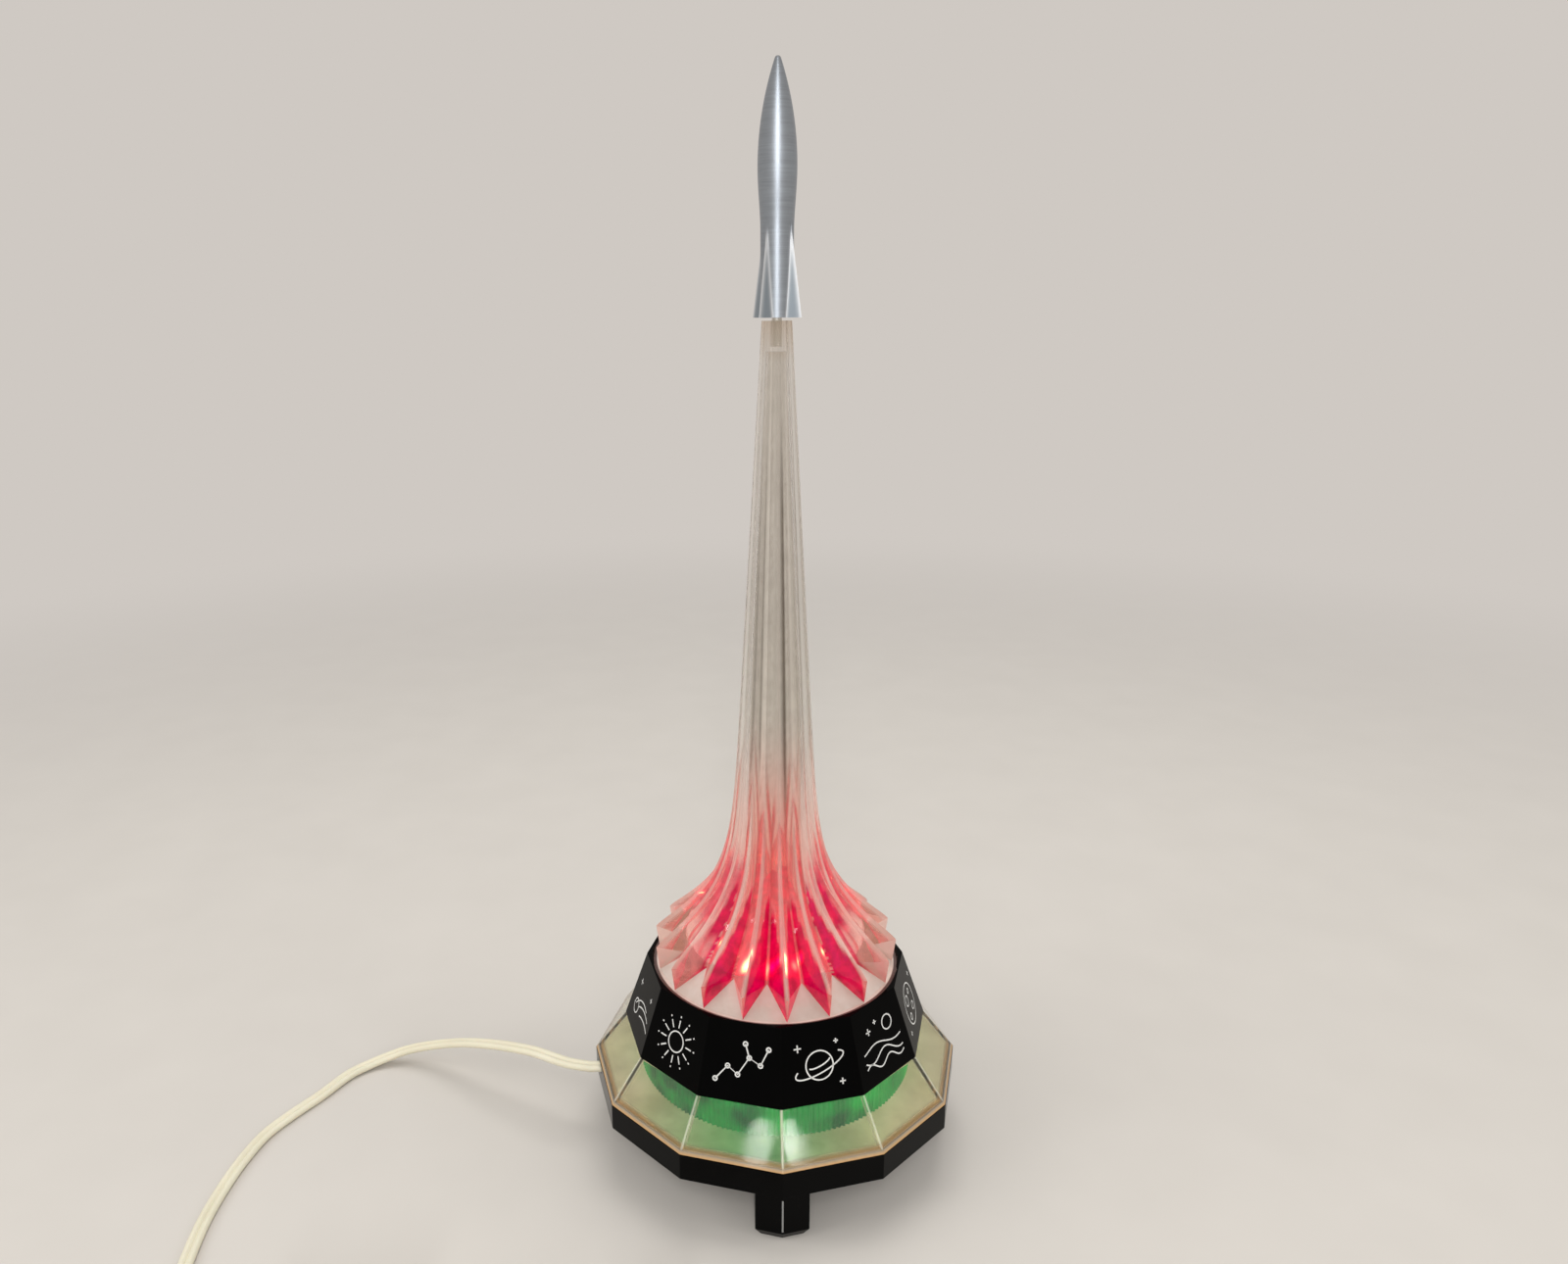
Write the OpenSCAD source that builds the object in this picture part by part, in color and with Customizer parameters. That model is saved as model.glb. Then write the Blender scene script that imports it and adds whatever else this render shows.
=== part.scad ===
// Rocket table lamp. A metal rocket stands on a clear fluted plume, lit from below
// through a red filter. The plume sits in a twelve-sided black collar, on a clear skirt
// and a black base tray with three feet. A twin flex with an in-line switch feeds it.
// Millimetres, +Z up, front corner towards -Y, origin on the floor under the plume's axis.

/* [Base] */
// Radius of the base's corners, and of the skirt's lower edge
base_r = 85; // [82:0.5:95]
// Height of the feet
foot_h = 22; // [18:0.5:30]
// Width of a foot
foot_w = 22.6; // [18:0.2:26]
// Depth of a foot, towards the middle
foot_d = 21; // [20:0.5:26]
// How far a foot's corner stands back from the base's corner
foot_inset = 0.5; // [0:0.1:2]
// Height of the bevel round a foot's sole
foot_bevel = 4; // [1:0.5:6]
// Height of the base tray's wall
tray_h = 12; // [11:0.5:18]
// Thickness of the tray's wall
tray_wall = 3; // [2:0.1:4]
// Thickness of the tray's floor
tray_floor = 3; // [2.8:0.1:4]
// Width of the ledge that carries the deck plate
tray_ledge = 3; // [2:0.1:4]
// Thickness of the deck plate
deck_t = 1.5; // [1:0.1:2]

/* [Skirt and green filter] */
// Height of the clear skirt
skirt_h = 19; // [15:0.5:24]
// Thickness of the skirt, square to its slope
skirt_wall = 3; // [2:0.1:3.4]
// Gap between the green ring's ribs and the walls round them
filter_gap = 0.9; // [0.4:0.1:4]
// Thickness of the green ring behind its ribs
filter_wall = 1.8; // [1.2:0.1:3]
// Depth of the ribs
rib_depth = 0.8; // [0.4:0.1:1.2]
// Number of ribs
rib_count = 168; // [120:12:180]
// How far the green ring rises inside the collar
filter_rise = 4; // [2:0.5:8]

/* [Collar] */
// Corner radius of the collar's lower edge
collar_r = 70.3; // [70:0.1:74]
// Corner radius of the collar's upper edge
collar_top_r = 59.2; // [59:0.1:62]
// Height of the collar
collar_h = 31.5; // [26:0.5:38]
// Thickness of the collar, square to its slope
collar_wall = 3; // [2:0.1:3.2]
// Least width of the collar's rim round the plume
rim_w = 0.78; // [0.6:0.02:1.2]
// Width of the ledge under the plume
ledge_w = 6.4; // [4:0.1:7]
// Thickness of that ledge
ledge_t = 2; // [1.5:0.1:3]
// How far the collar's rim stands above the plume's flange
rim_rise = 1; // [0.4:0.1:2]

/* [Plume] */
// Number of pleats
pleats = 18; // [16:1:24]
// How far the plume is turned in its seat, in degrees
plume_turn = 3.2; // [0:0.1:9]
// Height of the plume over its flange
plume_h = 287.5; // [240:0.5:330]
// Thickness of the plume's flange
flange_t = 3; // [2.5:0.1:4]
// How far the pleats' points on the flange stand in from the collar's opening
pleat_tip_in = 2.4; // [1:0.1:4]
// How far the pleats' ends above those points stand in from it
pleat_end_in = 0.9; // [0.4:0.1:4]
// Height of the pleats' ends above the flange
pleat_end_h = 11; // [8:0.5:14]
// Depth that the valleys gain in the flare
pleat_depth = 9.1; // [5:0.1:10]
// Share of the radius that the flutes cut into the column
flute_share = 0.07; // [0.03:0.01:0.1]
// Radius that the column's taper reaches at the pleats' ends
column_foot_r = 21.9; // [21:0.1:25]
// Radius of the column's top
column_top_r = 6.1; // [6:0.1:9]
// Height over which the flare fades into the column
flare_h = 22.7; // [18:0.1:30]
// Height over which the valleys' extra depth fades
valley_fade = 25; // [18:0.5:30]
// Least thickness of the plume, at the valleys
plume_wall = 2.6; // [2:0.1:3]
// Solid length at the column's top
plume_cap = 12; // [11:0.5:20]
// Length of the screw bosses under the flange
boss_l = 14; // [10:0.5:16]
// Radius of those bosses
boss_r = 4; // [3:0.1:4.5]

/* [Inner filters] */
// Thickness of the white ring under the plume
diffuser_t = 1.5; // [1:0.1:2.5]
// How far the white ring reaches in under the red filter's foot
ring_lap = 2; // [1.5:0.1:4]
// Thickness of the red filter
red_wall = 1.5; // [1:0.1:2]
// Width of the red filter's flange round its foot
red_lip = 3.6; // [3:0.1:7]
// Gap between the red filter's upper edge and the plume
red_gap = 1.7; // [1:0.1:4]
// Height of the red filter
red_h = 36; // [34.5:0.5:37]

/* [Rocket] */
// Length of the rocket
rocket_l = 95.2; // [80:0.2:120]
// Largest radius of the rocket's body
rocket_r = 7.7; // [7:0.1:9]
// Height of the widest place, from the fins' lower edge
rocket_widest = 56; // [45:0.5:62]
// Radius of the waist above the fins
waist_r = 6.6; // [5:0.1:6.8]
// Height of the waist
waist_h = 32; // [22:0.5:36]
// Radius of the blunt point
nose_r = 0.9; // [0.4:0.1:1.5]
// Height of the fins
fin_h = 37.2; // [24:0.2:40]
// Radius of the fins' lower points
fin_r = 12; // [9:0.1:14]
// Half the angle that a fin's root covers, in degrees
fin_root = 22; // [15:1:30]
// Number of fins
fin_count = 4; // [3:1:5]
// How far the fins are turned from the front, in degrees
fin_turn = 51.5; // [0:0.5:90]
// Gap between rocket and plume
rocket_gap = 1.2; // [0.6:0.1:3]
// Radius of the stud that carries the rocket
stud_r = 2; // [1.5:0.1:2.4]
// Depth of the stud in the plume
stud_down = 10; // [6:0.5:10.5]
// Depth of the stud in the rocket
stud_up = 15; // [10:0.5:20]

/* [Lampholder and bulb] */
// Radius of the lampholder
holder_r = 13; // [11:0.5:15]
// Height of the lampholder
holder_h = 32; // [30:0.5:34]
// Thickness of the lampholder's floor
holder_floor = 12; // [11:0.5:13]
// Radius of the threaded tube under the lampholder
nipple_r = 5; // [4.5:0.1:5.5]
// Bore radius of that tube
nipple_bore = 3.5; // [3.3:0.1:3.8]
// Length of that tube above the deck plate
nipple_up = 7; // [5:0.5:8]
// Thickness of the nut under the deck plate
nut_t = 3.5; // [2.5:0.1:3.6]
// Radius of the bulb's screw cap
cap_r = 6.95; // [6.5:0.05:7.2]
// Thickness of the brass screw shell
shell_t = 0.65; // [0.5:0.05:1]
// Height of the screw shell
shell_h = 14; // [11:0.5:16]
// Height of the bulb's screw cap
cap_h = 16; // [14:0.5:18]
// Largest radius of the bulb's glass
bulb_r = 14; // [12:0.5:16]
// Length of the glass above the cap
bulb_l = 44; // [38:0.5:46]
// Thickness of the glass
bulb_wall = 0.8; // [0.5:0.1:1]

/* [Screws] */
// Radius of the three long screws that hold the lamp together
tie_r = 1.75; // [1.5:0.05:2]
// How far the long screws stand in from the collar's opening
tie_in = 11.9; // [11.4:0.1:11.9]
// Radius of the foot screws
foot_screw_r = 1.6; // [1.2:0.1:2]
// Length of the foot screws below the tray's floor
foot_screw_l = 14; // [8:0.5:17]

/* [Flex] */
// Width of the flat twin flex
flex_w = 6.2; // [5.6:0.1:6.6]
// Thickness of the flex
flex_t = 3.1; // [2.6:0.1:3.3]
// Radius of a stripped core
core_r = 1.1; // [0.8:0.05:1.2]
// Radius at the middle of the coil's turns
coil_mid_r = 33; // [31:0.5:37]
// Turns of the coil that spiral in, before it reverses
coil_turns_in = 3.5; // [2.5:1:4.5]
// Free gap between the coil's turns
coil_gap = 0.6; // [0.5:0.05:1]

/* [In-line switch] */
// Length of the switch
switch_l = 62; // [62:0.5:70]
// Width of the switch
switch_w = 26; // [24:0.5:30]
// Height of the switch's housing
switch_h = 18; // [17:0.5:20]
// Height of the joint between its halves, where the flex enters
switch_split = 9; // [8:0.1:9.5]
// Thickness of the housing
switch_wall = 2; // [1.5:0.1:2.4]
// Corner radius of the housing
switch_round = 9; // [6:0.5:11]
// Length of the rocker
rocker_l = 18.8; // [16:0.2:19]
// Width of the rocker
rocker_w = 10; // [8:0.2:11]
// Radius of the rocker's pivot pins
pivot_r = 1.5; // [1.2:0.05:1.8]
// Tilt of the rocker either side of level, in degrees
rocker_tilt = 8; // [5:0.5:9]

/* [Plug] */
// Length of the plug's body
plug_l = 36; // [32:0.5:44]
// Width of the plug's front
plug_w = 34; // [30:0.5:38]
// Thickness of the plug
plug_t = 18; // [16:0.5:20]
// Radius of a pin
pin_r = 2; // [1.9:0.05:2.4]
// Free length of a pin
pin_l = 19; // [17:0.5:20]
// Distance between the pins
pin_pitch = 19; // [17.5:0.5:19.5]

/* [Clearances] */
// Gap round pieces that drop into each other
seat_gap = 0.3; // [0.2:0.05:0.5]
// Gap round screws and pressed studs
screw_gap = 0.05; // [0.02:0.01:0.1]
// Running gap of pins and of the screw cap, on the radius
run_gap = 0.06; // [0.03:0.01:0.1]

/* [Hidden] */
$fn = 64;
over = 1;                       // how far a cut runs past the face that it opens
sides = 12;                     // sides of base, skirt and collar, with corners at every 30 degrees
apo = cos(180 / sides);         // distance of a side from the middle, for a corner radius of 1
foot_angles = [270, 30, 150];   // the corners that have a foot, front first
tie_angles = [270, 30, 150];    // where the long screws stand

// Levels, from the floor up
z_tray = foot_h;
z_floor = z_tray + tray_floor;
z_top = z_tray + tray_h;
z_deck = z_top - deck_t;
z_collar = z_top + skirt_h;
z_rim = z_collar + collar_h;
z_flange_top = z_rim - rim_rise;
z_flange = z_flange_top - flange_t;
z_diffuser = z_flange - diffuser_t;
z_ledge = z_diffuser - ledge_t;
z_end = z_flange_top + pleat_end_h;
z_plume = z_flange + plume_h;
z_rocket = z_plume + rocket_gap;

// Base
foot_corner = base_r - foot_inset;
foot_taper = foot_bevel * 0.6;
foot_sole = 0.2;
foot_screw_at = foot_corner - foot_d / 2 - 3.2;
foot_head_r = 5;
foot_head_h = 1.8;
spigot_r = 3.6;
deck_r = base_r - (tray_wall + seat_gap) / apo;
well_r = base_r - (tray_wall + tray_ledge) / apo;
tie_head_r = 3.5;
tie_head_h = 1.8;

// Collar and skirt: horizontal thickness of a sloping wall
function level_wall(r1, r2, h, wall) = wall * sqrt(1 + pow(apo * (r1 - r2) / h, 2)) / apo;

// Round opening of the collar, and what stands in it
opening_r = apo * collar_top_r - rim_w;
pleat_tip_r = opening_r - pleat_tip_in;
pleat_end_r = opening_r - pleat_end_in;
tie_at = opening_r - tie_in;

// Green ring: it clears the collar round its upper edge, and the skirt's top under that
collar_at_filter = collar_r - (collar_r - collar_top_r) * filter_rise / collar_h;
room_in_collar = collar_at_filter - level_wall(collar_r, collar_top_r, collar_h, collar_wall);
room_in_skirt = collar_r - level_wall(base_r, collar_r, skirt_h, skirt_wall);
filter_r = apo * min(room_in_collar, room_in_skirt) - filter_gap;

// Plume: radius of the pleats' ridges, of the valleys between them, and of the bore
function column_at(z) = column_foot_r + (column_top_r - column_foot_r) * (z - z_end) / (z_plume - z_end);
function ridge_at(z) = column_at(z) + (pleat_end_r - column_foot_r) * exp(-pow((z - z_end) / flare_h, 1.25));
function valley_at(z) = ridge_at(z) * (1 - flute_share) - pleat_depth * exp(-(z - z_end) / valley_fade);
bore_r = valley_at(z_end) - plume_wall;
plume_rings = 26;
plume_z = [for (k = [0:plume_rings]) z_end + (z_plume - z_end) * pow(k / plume_rings, 1.9)];
flange_r = opening_r - seat_gap;
red_flange_r = bore_r - seat_gap;
red_foot_r = red_flange_r - red_lip;
red_top_r = valley_at(z_flange + red_h) - plume_wall - red_gap;
diffuser_in = red_foot_r - ring_lap;

// Lampholder and bulb
z_contact = z_top + holder_floor;
contact_t = 0.6;
shell_in = cap_r + run_gap;
shell_out = shell_in + shell_t;
z_cap = z_contact + 4;
z_glass = z_cap + cap_h;
insulator_h = 2.5;
neck_r = cap_r - 0.7;
belly_h = bulb_l * 0.41;
stem_top = z_glass + 10;
filament_z = stem_top + 12;
filament_half = bulb_r / 2;
nipple_down = deck_t + nut_t;

// Flex: slots that it passes, and the row in which switch, coil and plug lie
slot_w = flex_w + 2 * seat_gap;
slot_t = flex_t + 2 * seat_gap;
entry = 6;                      // how deep the flex goes into switch and plug
row_y = -139;
switch_x0 = -200;

// Flex inside the tray: out through the wall, under the clamp, to the foot of the tube
z_exit = z_deck - slot_t / 2 - 0.45;
exit_y = -10;
exit_x = -(base_r - tan(180 / sides) * -exit_y);
z_laid = z_floor + flex_t / 2 + 0.05;
clamp_in = 24.3;                // from the exit to the clamp
clamp_x = exit_x + clamp_in;
clamp_w = 8;
clamp_t = 1.8;
clamp_half = flex_w / 2 + 4;
clamp_screw_r = 1.2;
core_y = flex_w / 4;
core_x = -16;
core_bend = 5;
function drop_to_floor(share) = z_laid + (z_exit - z_laid) * share;
function to_core(share) = clamp_x + 4 + (core_x - clamp_x - 4) * share;
flex_route = [
    [exit_x, exit_y, z_exit], [exit_x + 3, exit_y, z_exit], [exit_x + 6.3, exit_y, z_exit],
    [exit_x + 11.3, exit_y, drop_to_floor(0.67)], [exit_x + 16.3, exit_y, drop_to_floor(0.22)],
    [clamp_x - 4, exit_y, z_laid], [clamp_x + 4, exit_y, z_laid],
    [to_core(0.21), exit_y * 0.9, z_laid], [to_core(0.47), exit_y * 0.55, z_laid],
    [to_core(0.71), exit_y * 0.2, z_laid], [to_core(0.85), 0, z_laid], [to_core(0.93), 0, z_laid], [core_x, 0, z_laid]
];

// Free flex from the wall to the switch: it droops to the floor, lies there and climbs again.
// The third number is a share of the height, over the flex's lie, of the exit or of the switch's entry.
z_lie = flex_t / 2 + 0.15;
lead_drop = [
    [exit_x, exit_y, 1], [exit_x - 2, exit_y, 1], [exit_x - 4.5, exit_y, 1], [exit_x - 9, -9.1, 1],
    [-100, -6, 0.99], [-114.5, 2.5, 0.96], [-126, 8.5, 0.9],
    [-138, 15, 0.8], [-151, 22.5, 0.65], [-163, 29, 0.48], [-175.5, 33.5, 0.32], [-187.5, 35, 0.19],
    [-197, 33.5, 0.09], [-205, 30, 0.03], [-214, 22, 0.01], [-223, 6.5, 0], [-232.5, -8, 0],
    [-240, -22.5, 0], [-244, -41, 0], [-245.5, -59, 0], [-245.5, -75, 0], [-244, -91, 0], [-241.5, -106, 0]
];
lead_climb = [[-236, -121, 0.03], [-227, -132, 0.2], [-214, -138, 0.7], [-205, row_y, 0.97], [switch_x0 + entry, row_y, 1]];
lead_route = concat(
    [for (p = lead_drop) [p[0], p[1], z_lie + (z_exit - z_lie) * p[2]]],
    [for (p = lead_climb) [p[0], p[1], z_lie + (switch_split - z_lie) * p[2]]]
);
lead_steps = 3;

// Switch
switch_x = switch_x0 + switch_l / 2;
pivot_z = switch_split + 3.5;
rocker_in = 1;                  // level of the rocker's underside above its pivot
rocker_rise = 6.6;              // level of the rocker's waist above its pivot
rocker_lip = 1.6;               // how much higher its two ends stand
rocker_hub = 3.2;
cheek_w = 2.4;
cheek_l = 8;
cheek_out = rocker_w / 2 + seat_gap + cheek_w;
post_r = 2.8;
post_screw_r = 1.1;
post_at = [switch_l / 2 - 9, switch_w / 2 - 5.6];
switch_head_r = 2.2;
switch_head_h = 1.4;

// Coil: two layers of standing turns, lifted by the strap of the tie
tie_t = 0.8;
tie_w = 5;
tie_gap = 0.4;
coil_low = tie_t + tie_gap + flex_w / 2;
coil_high = coil_low + flex_w + coil_gap;
coil_step = flex_t + coil_gap;
coil_out_r = coil_mid_r + coil_step * coil_turns_in / 2;
coil_in_r = coil_out_r - coil_step * coil_turns_in;
coil_turns = 2 * coil_turns_in - 1;
coil_rings = 24;
coil_run = 34;                  // straight flex between the switch and the first turn
coil_x = switch_x0 + switch_l + coil_run;
coil_y = row_y - coil_out_r;
tie_turn = 0.375;               // where the tie sits, as a share of a turn

// Plug
plug_run = 32;
plug_x = coil_x + plug_run;
plug_z = plug_t / 2;
plug_neck = 12;
plug_round = 4;
plug_screw_r = 1.5;
plug_head_r = 2.8;
plug_head_h = 1.6;
pin_in = 12;
pin_root_r = pin_r - 0.4;         // the part of a pin that the plug holds

// Shared shapes

// Twelve-sided prism with a corner towards the front
module prism(r, z, h) translate([0, 0, z]) cylinder(r = r, h = h, $fn = sides);

// Twelve-sided frustum
module frustum(r1, r2, z, h) translate([0, 0, z]) cylinder(r1 = r1, r2 = r2, h = h, $fn = sides);

// The hollow of a sloping wall that runs from corner radius r1 to r2, cut past both ends
module frustum_hollow(r1, r2, z, h, wall) {
    inset = level_wall(r1, r2, h, wall);
    slope = (r1 - r2) / h;
    frustum(r1 - inset + slope * over, r2 - inset - slope * over, z - over, h + 2 * over);
}

module rod(r, z, h) translate([0, 0, z]) cylinder(r = r, h = h);

module tube(r, bore, z, h) difference() {
    rod(r, z, h);
    rod(bore, z - over, h + 2 * over);
}

// Turns what is drawn at the front corner to another corner
module at_corner(angle) rotate([0, 0, angle - 270]) children();

module at_ties() for (a = tie_angles) rotate([0, 0, a]) translate([tie_at, 0, 0]) children();

// Flat plate with round corners, centred
module round_plate(l, w, r, z, h) translate([0, 0, z]) linear_extrude(h) {
    square([l - 2 * r, w], center = true);
    square([l, w - 2 * r], center = true);
    for (x = [-1, 1], y = [-1, 1]) translate([x * (l / 2 - r), y * (w / 2 - r)]) circle(r);
}

// Slotted screw, head downwards, with its head's seat at z = 0
module screw(head_r, head_h, r, l) {
    difference() {
        translate([0, 0, -head_h]) cylinder(r = head_r, h = head_h);
        translate([-head_r, -0.4, -head_h - over]) cube([2 * head_r, 0.8, over + head_h * 0.45]);
    }
    cylinder(r = r, h = l);
}

// Sweeps: a smooth curve through a route's points, and a tube of triangles along a path
function unit(v) = v / norm(v);
function on_curve(a, b, c, d, t) =
    0.5 * (2 * b + (c - a) * t + (2 * a - 5 * b + 4 * c - d) * t * t + (3 * b - a - 3 * c + d) * t * t * t);
function smooth(route, steps) = [
    for (i = [0:len(route) - 2], k = [0:steps - 1])
        on_curve(route[max(i - 1, 0)], route[i], route[i + 1], route[min(i + 2, len(route) - 1)], k / steps),
    route[len(route) - 1]
];
function heading(path, i) = unit(path[min(i + 1, len(path) - 1)] - path[max(i - 1, 0)]);
function length_of(path, i = 0) = i >= len(path) - 1 ? 0 : norm(path[i + 1] - path[i]) + length_of(path, i + 1);
function ring(path, i, section, level) =
    let (t = heading(path, i), s = unit(cross(t, level)), u = cross(s, t)) [for (q = section) path[i] + s * q[0] + u * q[1]];
function rings(path, section, level) = [for (i = [0:len(path) - 1]) each ring(path, i, section, level)];

module sweep(path, section, level = [0, 0, 1]) {
    n = len(section);
    last = (len(path) - 1) * n;
    walls = [
        for (i = [0:len(path) - 2], j = [0:n - 1])
            let (a = i * n + j, b = i * n + (j + 1) % n)
                each [[a, b + n, b], [a, a + n, b + n]]
    ];
    ends = [for (j = [1:n - 2]) each [[0, j, j + 1], [last, last + j + 1, last + j]]];
    polyhedron(rings(path, section, level), concat(walls, ends), convexity = 10);
}

// Flat section with its width across or upright, and a round one, all anticlockwise from the side
eighth = tan(22.5) / 2;
lying = [for (q = [[0.5, eighth], [eighth, 0.5], [-eighth, 0.5], [-0.5, eighth]]) each [[q[0] * flex_w, q[1] * flex_t]]];
lying_flex = concat(lying, [for (q = lying) -q]);
half_standing = [[0.5, 0.3], [0, 0.5], [-0.5, 0.3]];
standing_flex = [for (turn = [1, -1], q = half_standing) [turn * q[0] * flex_t, turn * q[1] * flex_w]];
round_core = [for (j = [0:7]) core_r * [cos(45 * j), sin(45 * j)]];

// Base

module foot_plan(inset) {
    half = foot_w / 2 - inset;
    front = foot_corner - inset / apo;
    polygon([
        [0, -front], [half, half * tan(180 / sides) - front], [half, foot_d - foot_corner - inset],
        [-half, foot_d - foot_corner - inset], [-half, half * tan(180 / sides) - front]
    ]);
}

module foot(angle) color("#101012") at_corner(angle) difference() {
    union() {
        hull() {
            translate([0, 0, foot_bevel]) linear_extrude(foot_h - foot_bevel) foot_plan(0);
            linear_extrude(foot_sole) foot_plan(foot_taper);
        }
        translate([0, -foot_screw_at, foot_h - over]) cylinder(r = spigot_r, h = tray_floor + over - seat_gap);
    }
    translate([0, -foot_screw_at, z_floor - foot_screw_l - over])
        cylinder(r = foot_screw_r + screw_gap, h = foot_screw_l + 2 * over);
}

module foot_front() foot(foot_angles[0]);
module foot_right() foot(foot_angles[1]);
module foot_left() foot(foot_angles[2]);

module foot_screws() color("silver") for (a = foot_angles) at_corner(a)
    translate([0, -foot_screw_at, z_floor]) mirror([0, 0, 1]) screw(foot_head_r, foot_head_h, foot_screw_r, foot_screw_l);

module base_tray() color("#101012") difference() {
    prism(base_r, z_tray, tray_h);
    prism(well_r, z_floor, tray_h);
    prism(deck_r + seat_gap / apo, z_deck, tray_h);
    for (a = foot_angles) at_corner(a)
        translate([0, -foot_screw_at, z_tray - over]) cylinder(r = spigot_r + screw_gap, h = tray_h);
    at_ties() {
        translate([0, 0, z_tray - over]) cylinder(r = tie_r + seat_gap, h = tray_h);
        translate([0, 0, z_tray - over]) cylinder(r = tie_head_r + seat_gap, h = over + tie_head_h);
    }
    translate([exit_x, exit_y, z_exit])
        cube([4 * (tray_wall + tray_ledge), slot_w, slot_t], center = true);
    for (y = [-1, 1]) translate([clamp_x, exit_y + y * (clamp_half - 2), z_tray + over])
        cylinder(r = clamp_screw_r + screw_gap, h = tray_h);
}

module deck_plate() color("#e9e6dc") difference() {
    prism(deck_r, z_deck, deck_t);
    rod(nipple_r + seat_gap, z_deck - over, deck_t + 2 * over);
    at_ties() rod(tie_r + seat_gap, z_deck - over, deck_t + 2 * over);
}

module tie_screws() color("silver") at_ties()
    translate([0, 0, z_tray + tie_head_h])
        screw(tie_head_r, tie_head_h, tie_r, z_flange - z_tray - tie_head_h - over);

// Skirt, filters and collar

module skirt() color("#d8d0a0", 0.5) difference() {
    frustum(base_r, collar_r, z_top, skirt_h);
    frustum_hollow(base_r, collar_r, z_top, skirt_h, skirt_wall);
}

module green_filter() color("#18a060", 0.8) translate([0, 0, z_top]) linear_extrude(skirt_h + filter_rise) difference() {
    polygon([
        for (k = [0:rib_count - 1], e = [[0.12, 0], [0.38, 0], [0.62, 1], [0.88, 1]])
            let (a = 360 * (k + e[0]) / rib_count) (filter_r - e[1] * rib_depth) * [cos(a), sin(a)]
    ]);
    circle(filter_r - rib_depth - filter_wall, $fn = 120);
}

module collar() color("#0c0c0e") difference() {
    frustum(collar_r, collar_top_r, z_collar, collar_h);
    intersection() {
        frustum_hollow(collar_r, collar_top_r, z_collar, collar_h, collar_wall);
        rod(collar_r, z_collar - 2 * over, z_ledge - z_collar + 2 * over);
    }
    rod(opening_r - ledge_w, z_ledge - over, ledge_t + 2 * over);
    rod(opening_r, z_diffuser, collar_h);
}

module diffuser_ring() color("#f4efe4") difference() {
    tube(flange_r, diffuser_in, z_diffuser, diffuser_t);
    at_ties() rod(boss_r + seat_gap, z_diffuser - over, diffuser_t + 2 * over);
}

module red_filter() color("#d00030", 0.8) rotate_extrude() polygon([
    [diffuser_in + red_wall, z_flange], [red_flange_r, z_flange], [red_flange_r, z_flange + red_wall],
    [red_foot_r, z_flange + red_wall], [red_top_r, z_flange + red_h], [0, z_flange + red_h],
    [0, z_flange + red_h - red_wall], [red_top_r - red_wall, z_flange + red_h - red_wall],
    [red_foot_r - red_wall, z_flange + red_wall]
]);

// Plume

// One ring of the star: points on the ridges in turn with points in the valleys
function star(ridge, valley, z) = [
    for (k = [0:2 * pleats - 1])
        let (a = 270 + plume_turn + 180 * k / pleats, r = k % 2 == 0 ? ridge : valley) [r * cos(a), r * sin(a), z]
];

module pleated_horn() {
    foot_valley = pleat_tip_r * cos(180 / pleats);
    layers = concat(
        [star(pleat_tip_r, foot_valley, z_flange_top - over), star(pleat_tip_r, foot_valley, z_flange_top)],
        [for (z = plume_z) star(ridge_at(z), valley_at(z), z)]
    );
    n = 2 * pleats;
    count = len(layers);
    walls = [
        for (i = [0:count - 2], j = [0:n - 1])
            let (a = i * n + j, b = i * n + (j + 1) % n)
                each j % 2 == 0 ? [[a, b + n, b], [a, a + n, b + n]] : [[a, a + n, b], [a + n, b + n, b]]
    ];
    low = count * n;
    ends = [for (j = [0:n - 1]) let (k = (j + 1) % n, top = low - n) each [[j, k, low], [top + k, top + j, low + 1]]];
    middles = [[0, 0, z_flange_top - over], [0, 0, z_plume]];
    polyhedron(concat([for (layer = layers) each layer], middles), concat(walls, ends), convexity = 10);
}

module plume_bore() {
    high = z_plume - plume_cap;
    inner = [for (z = plume_z) if (z < high - over) [valley_at(z) - plume_wall, z]];
    rotate_extrude() polygon(concat(
        [[0, z_flange - over], [bore_r, z_flange - over]], inner,
        [[valley_at(high) - plume_wall, high], [0, high]]
    ));
}

module plume() color("#f2d8cc", 0.4) difference() {
    union() {
        rod(flange_r, z_flange, flange_t);
        pleated_horn();
        at_ties() rod(boss_r, z_flange - boss_l, boss_l + over);
    }
    plume_bore();
    at_ties() rod(tie_r + screw_gap, z_flange - boss_l - over, boss_l + over);
    rod(stud_r + screw_gap, z_plume - stud_down, stud_down + over);
}

// Rocket

function nose_at(h) =
    let (l = rocket_l - rocket_widest, d = rocket_r - nose_r, arc = (l * l + d * d) / (2 * d))
        rocket_r - arc + sqrt(arc * arc - pow(h - rocket_widest, 2));
function waist_at(h) = waist_r + (rocket_r - waist_r) * (1 - cos(180 * (h - waist_h) / (rocket_widest - waist_h))) / 2;
rocket_steps = 14;

module fin() {
    foot = waist_r * 0.98;
    polyhedron(
        [
            [waist_r * 0.95, 0, fin_h], [fin_r, 0, 0],
            foot * [cos(fin_root), sin(fin_root), 0], foot * [cos(fin_root), -sin(fin_root), 0]
        ],
        [[0, 2, 1], [0, 1, 3], [0, 3, 2], [1, 2, 3]]
    );
}

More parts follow.
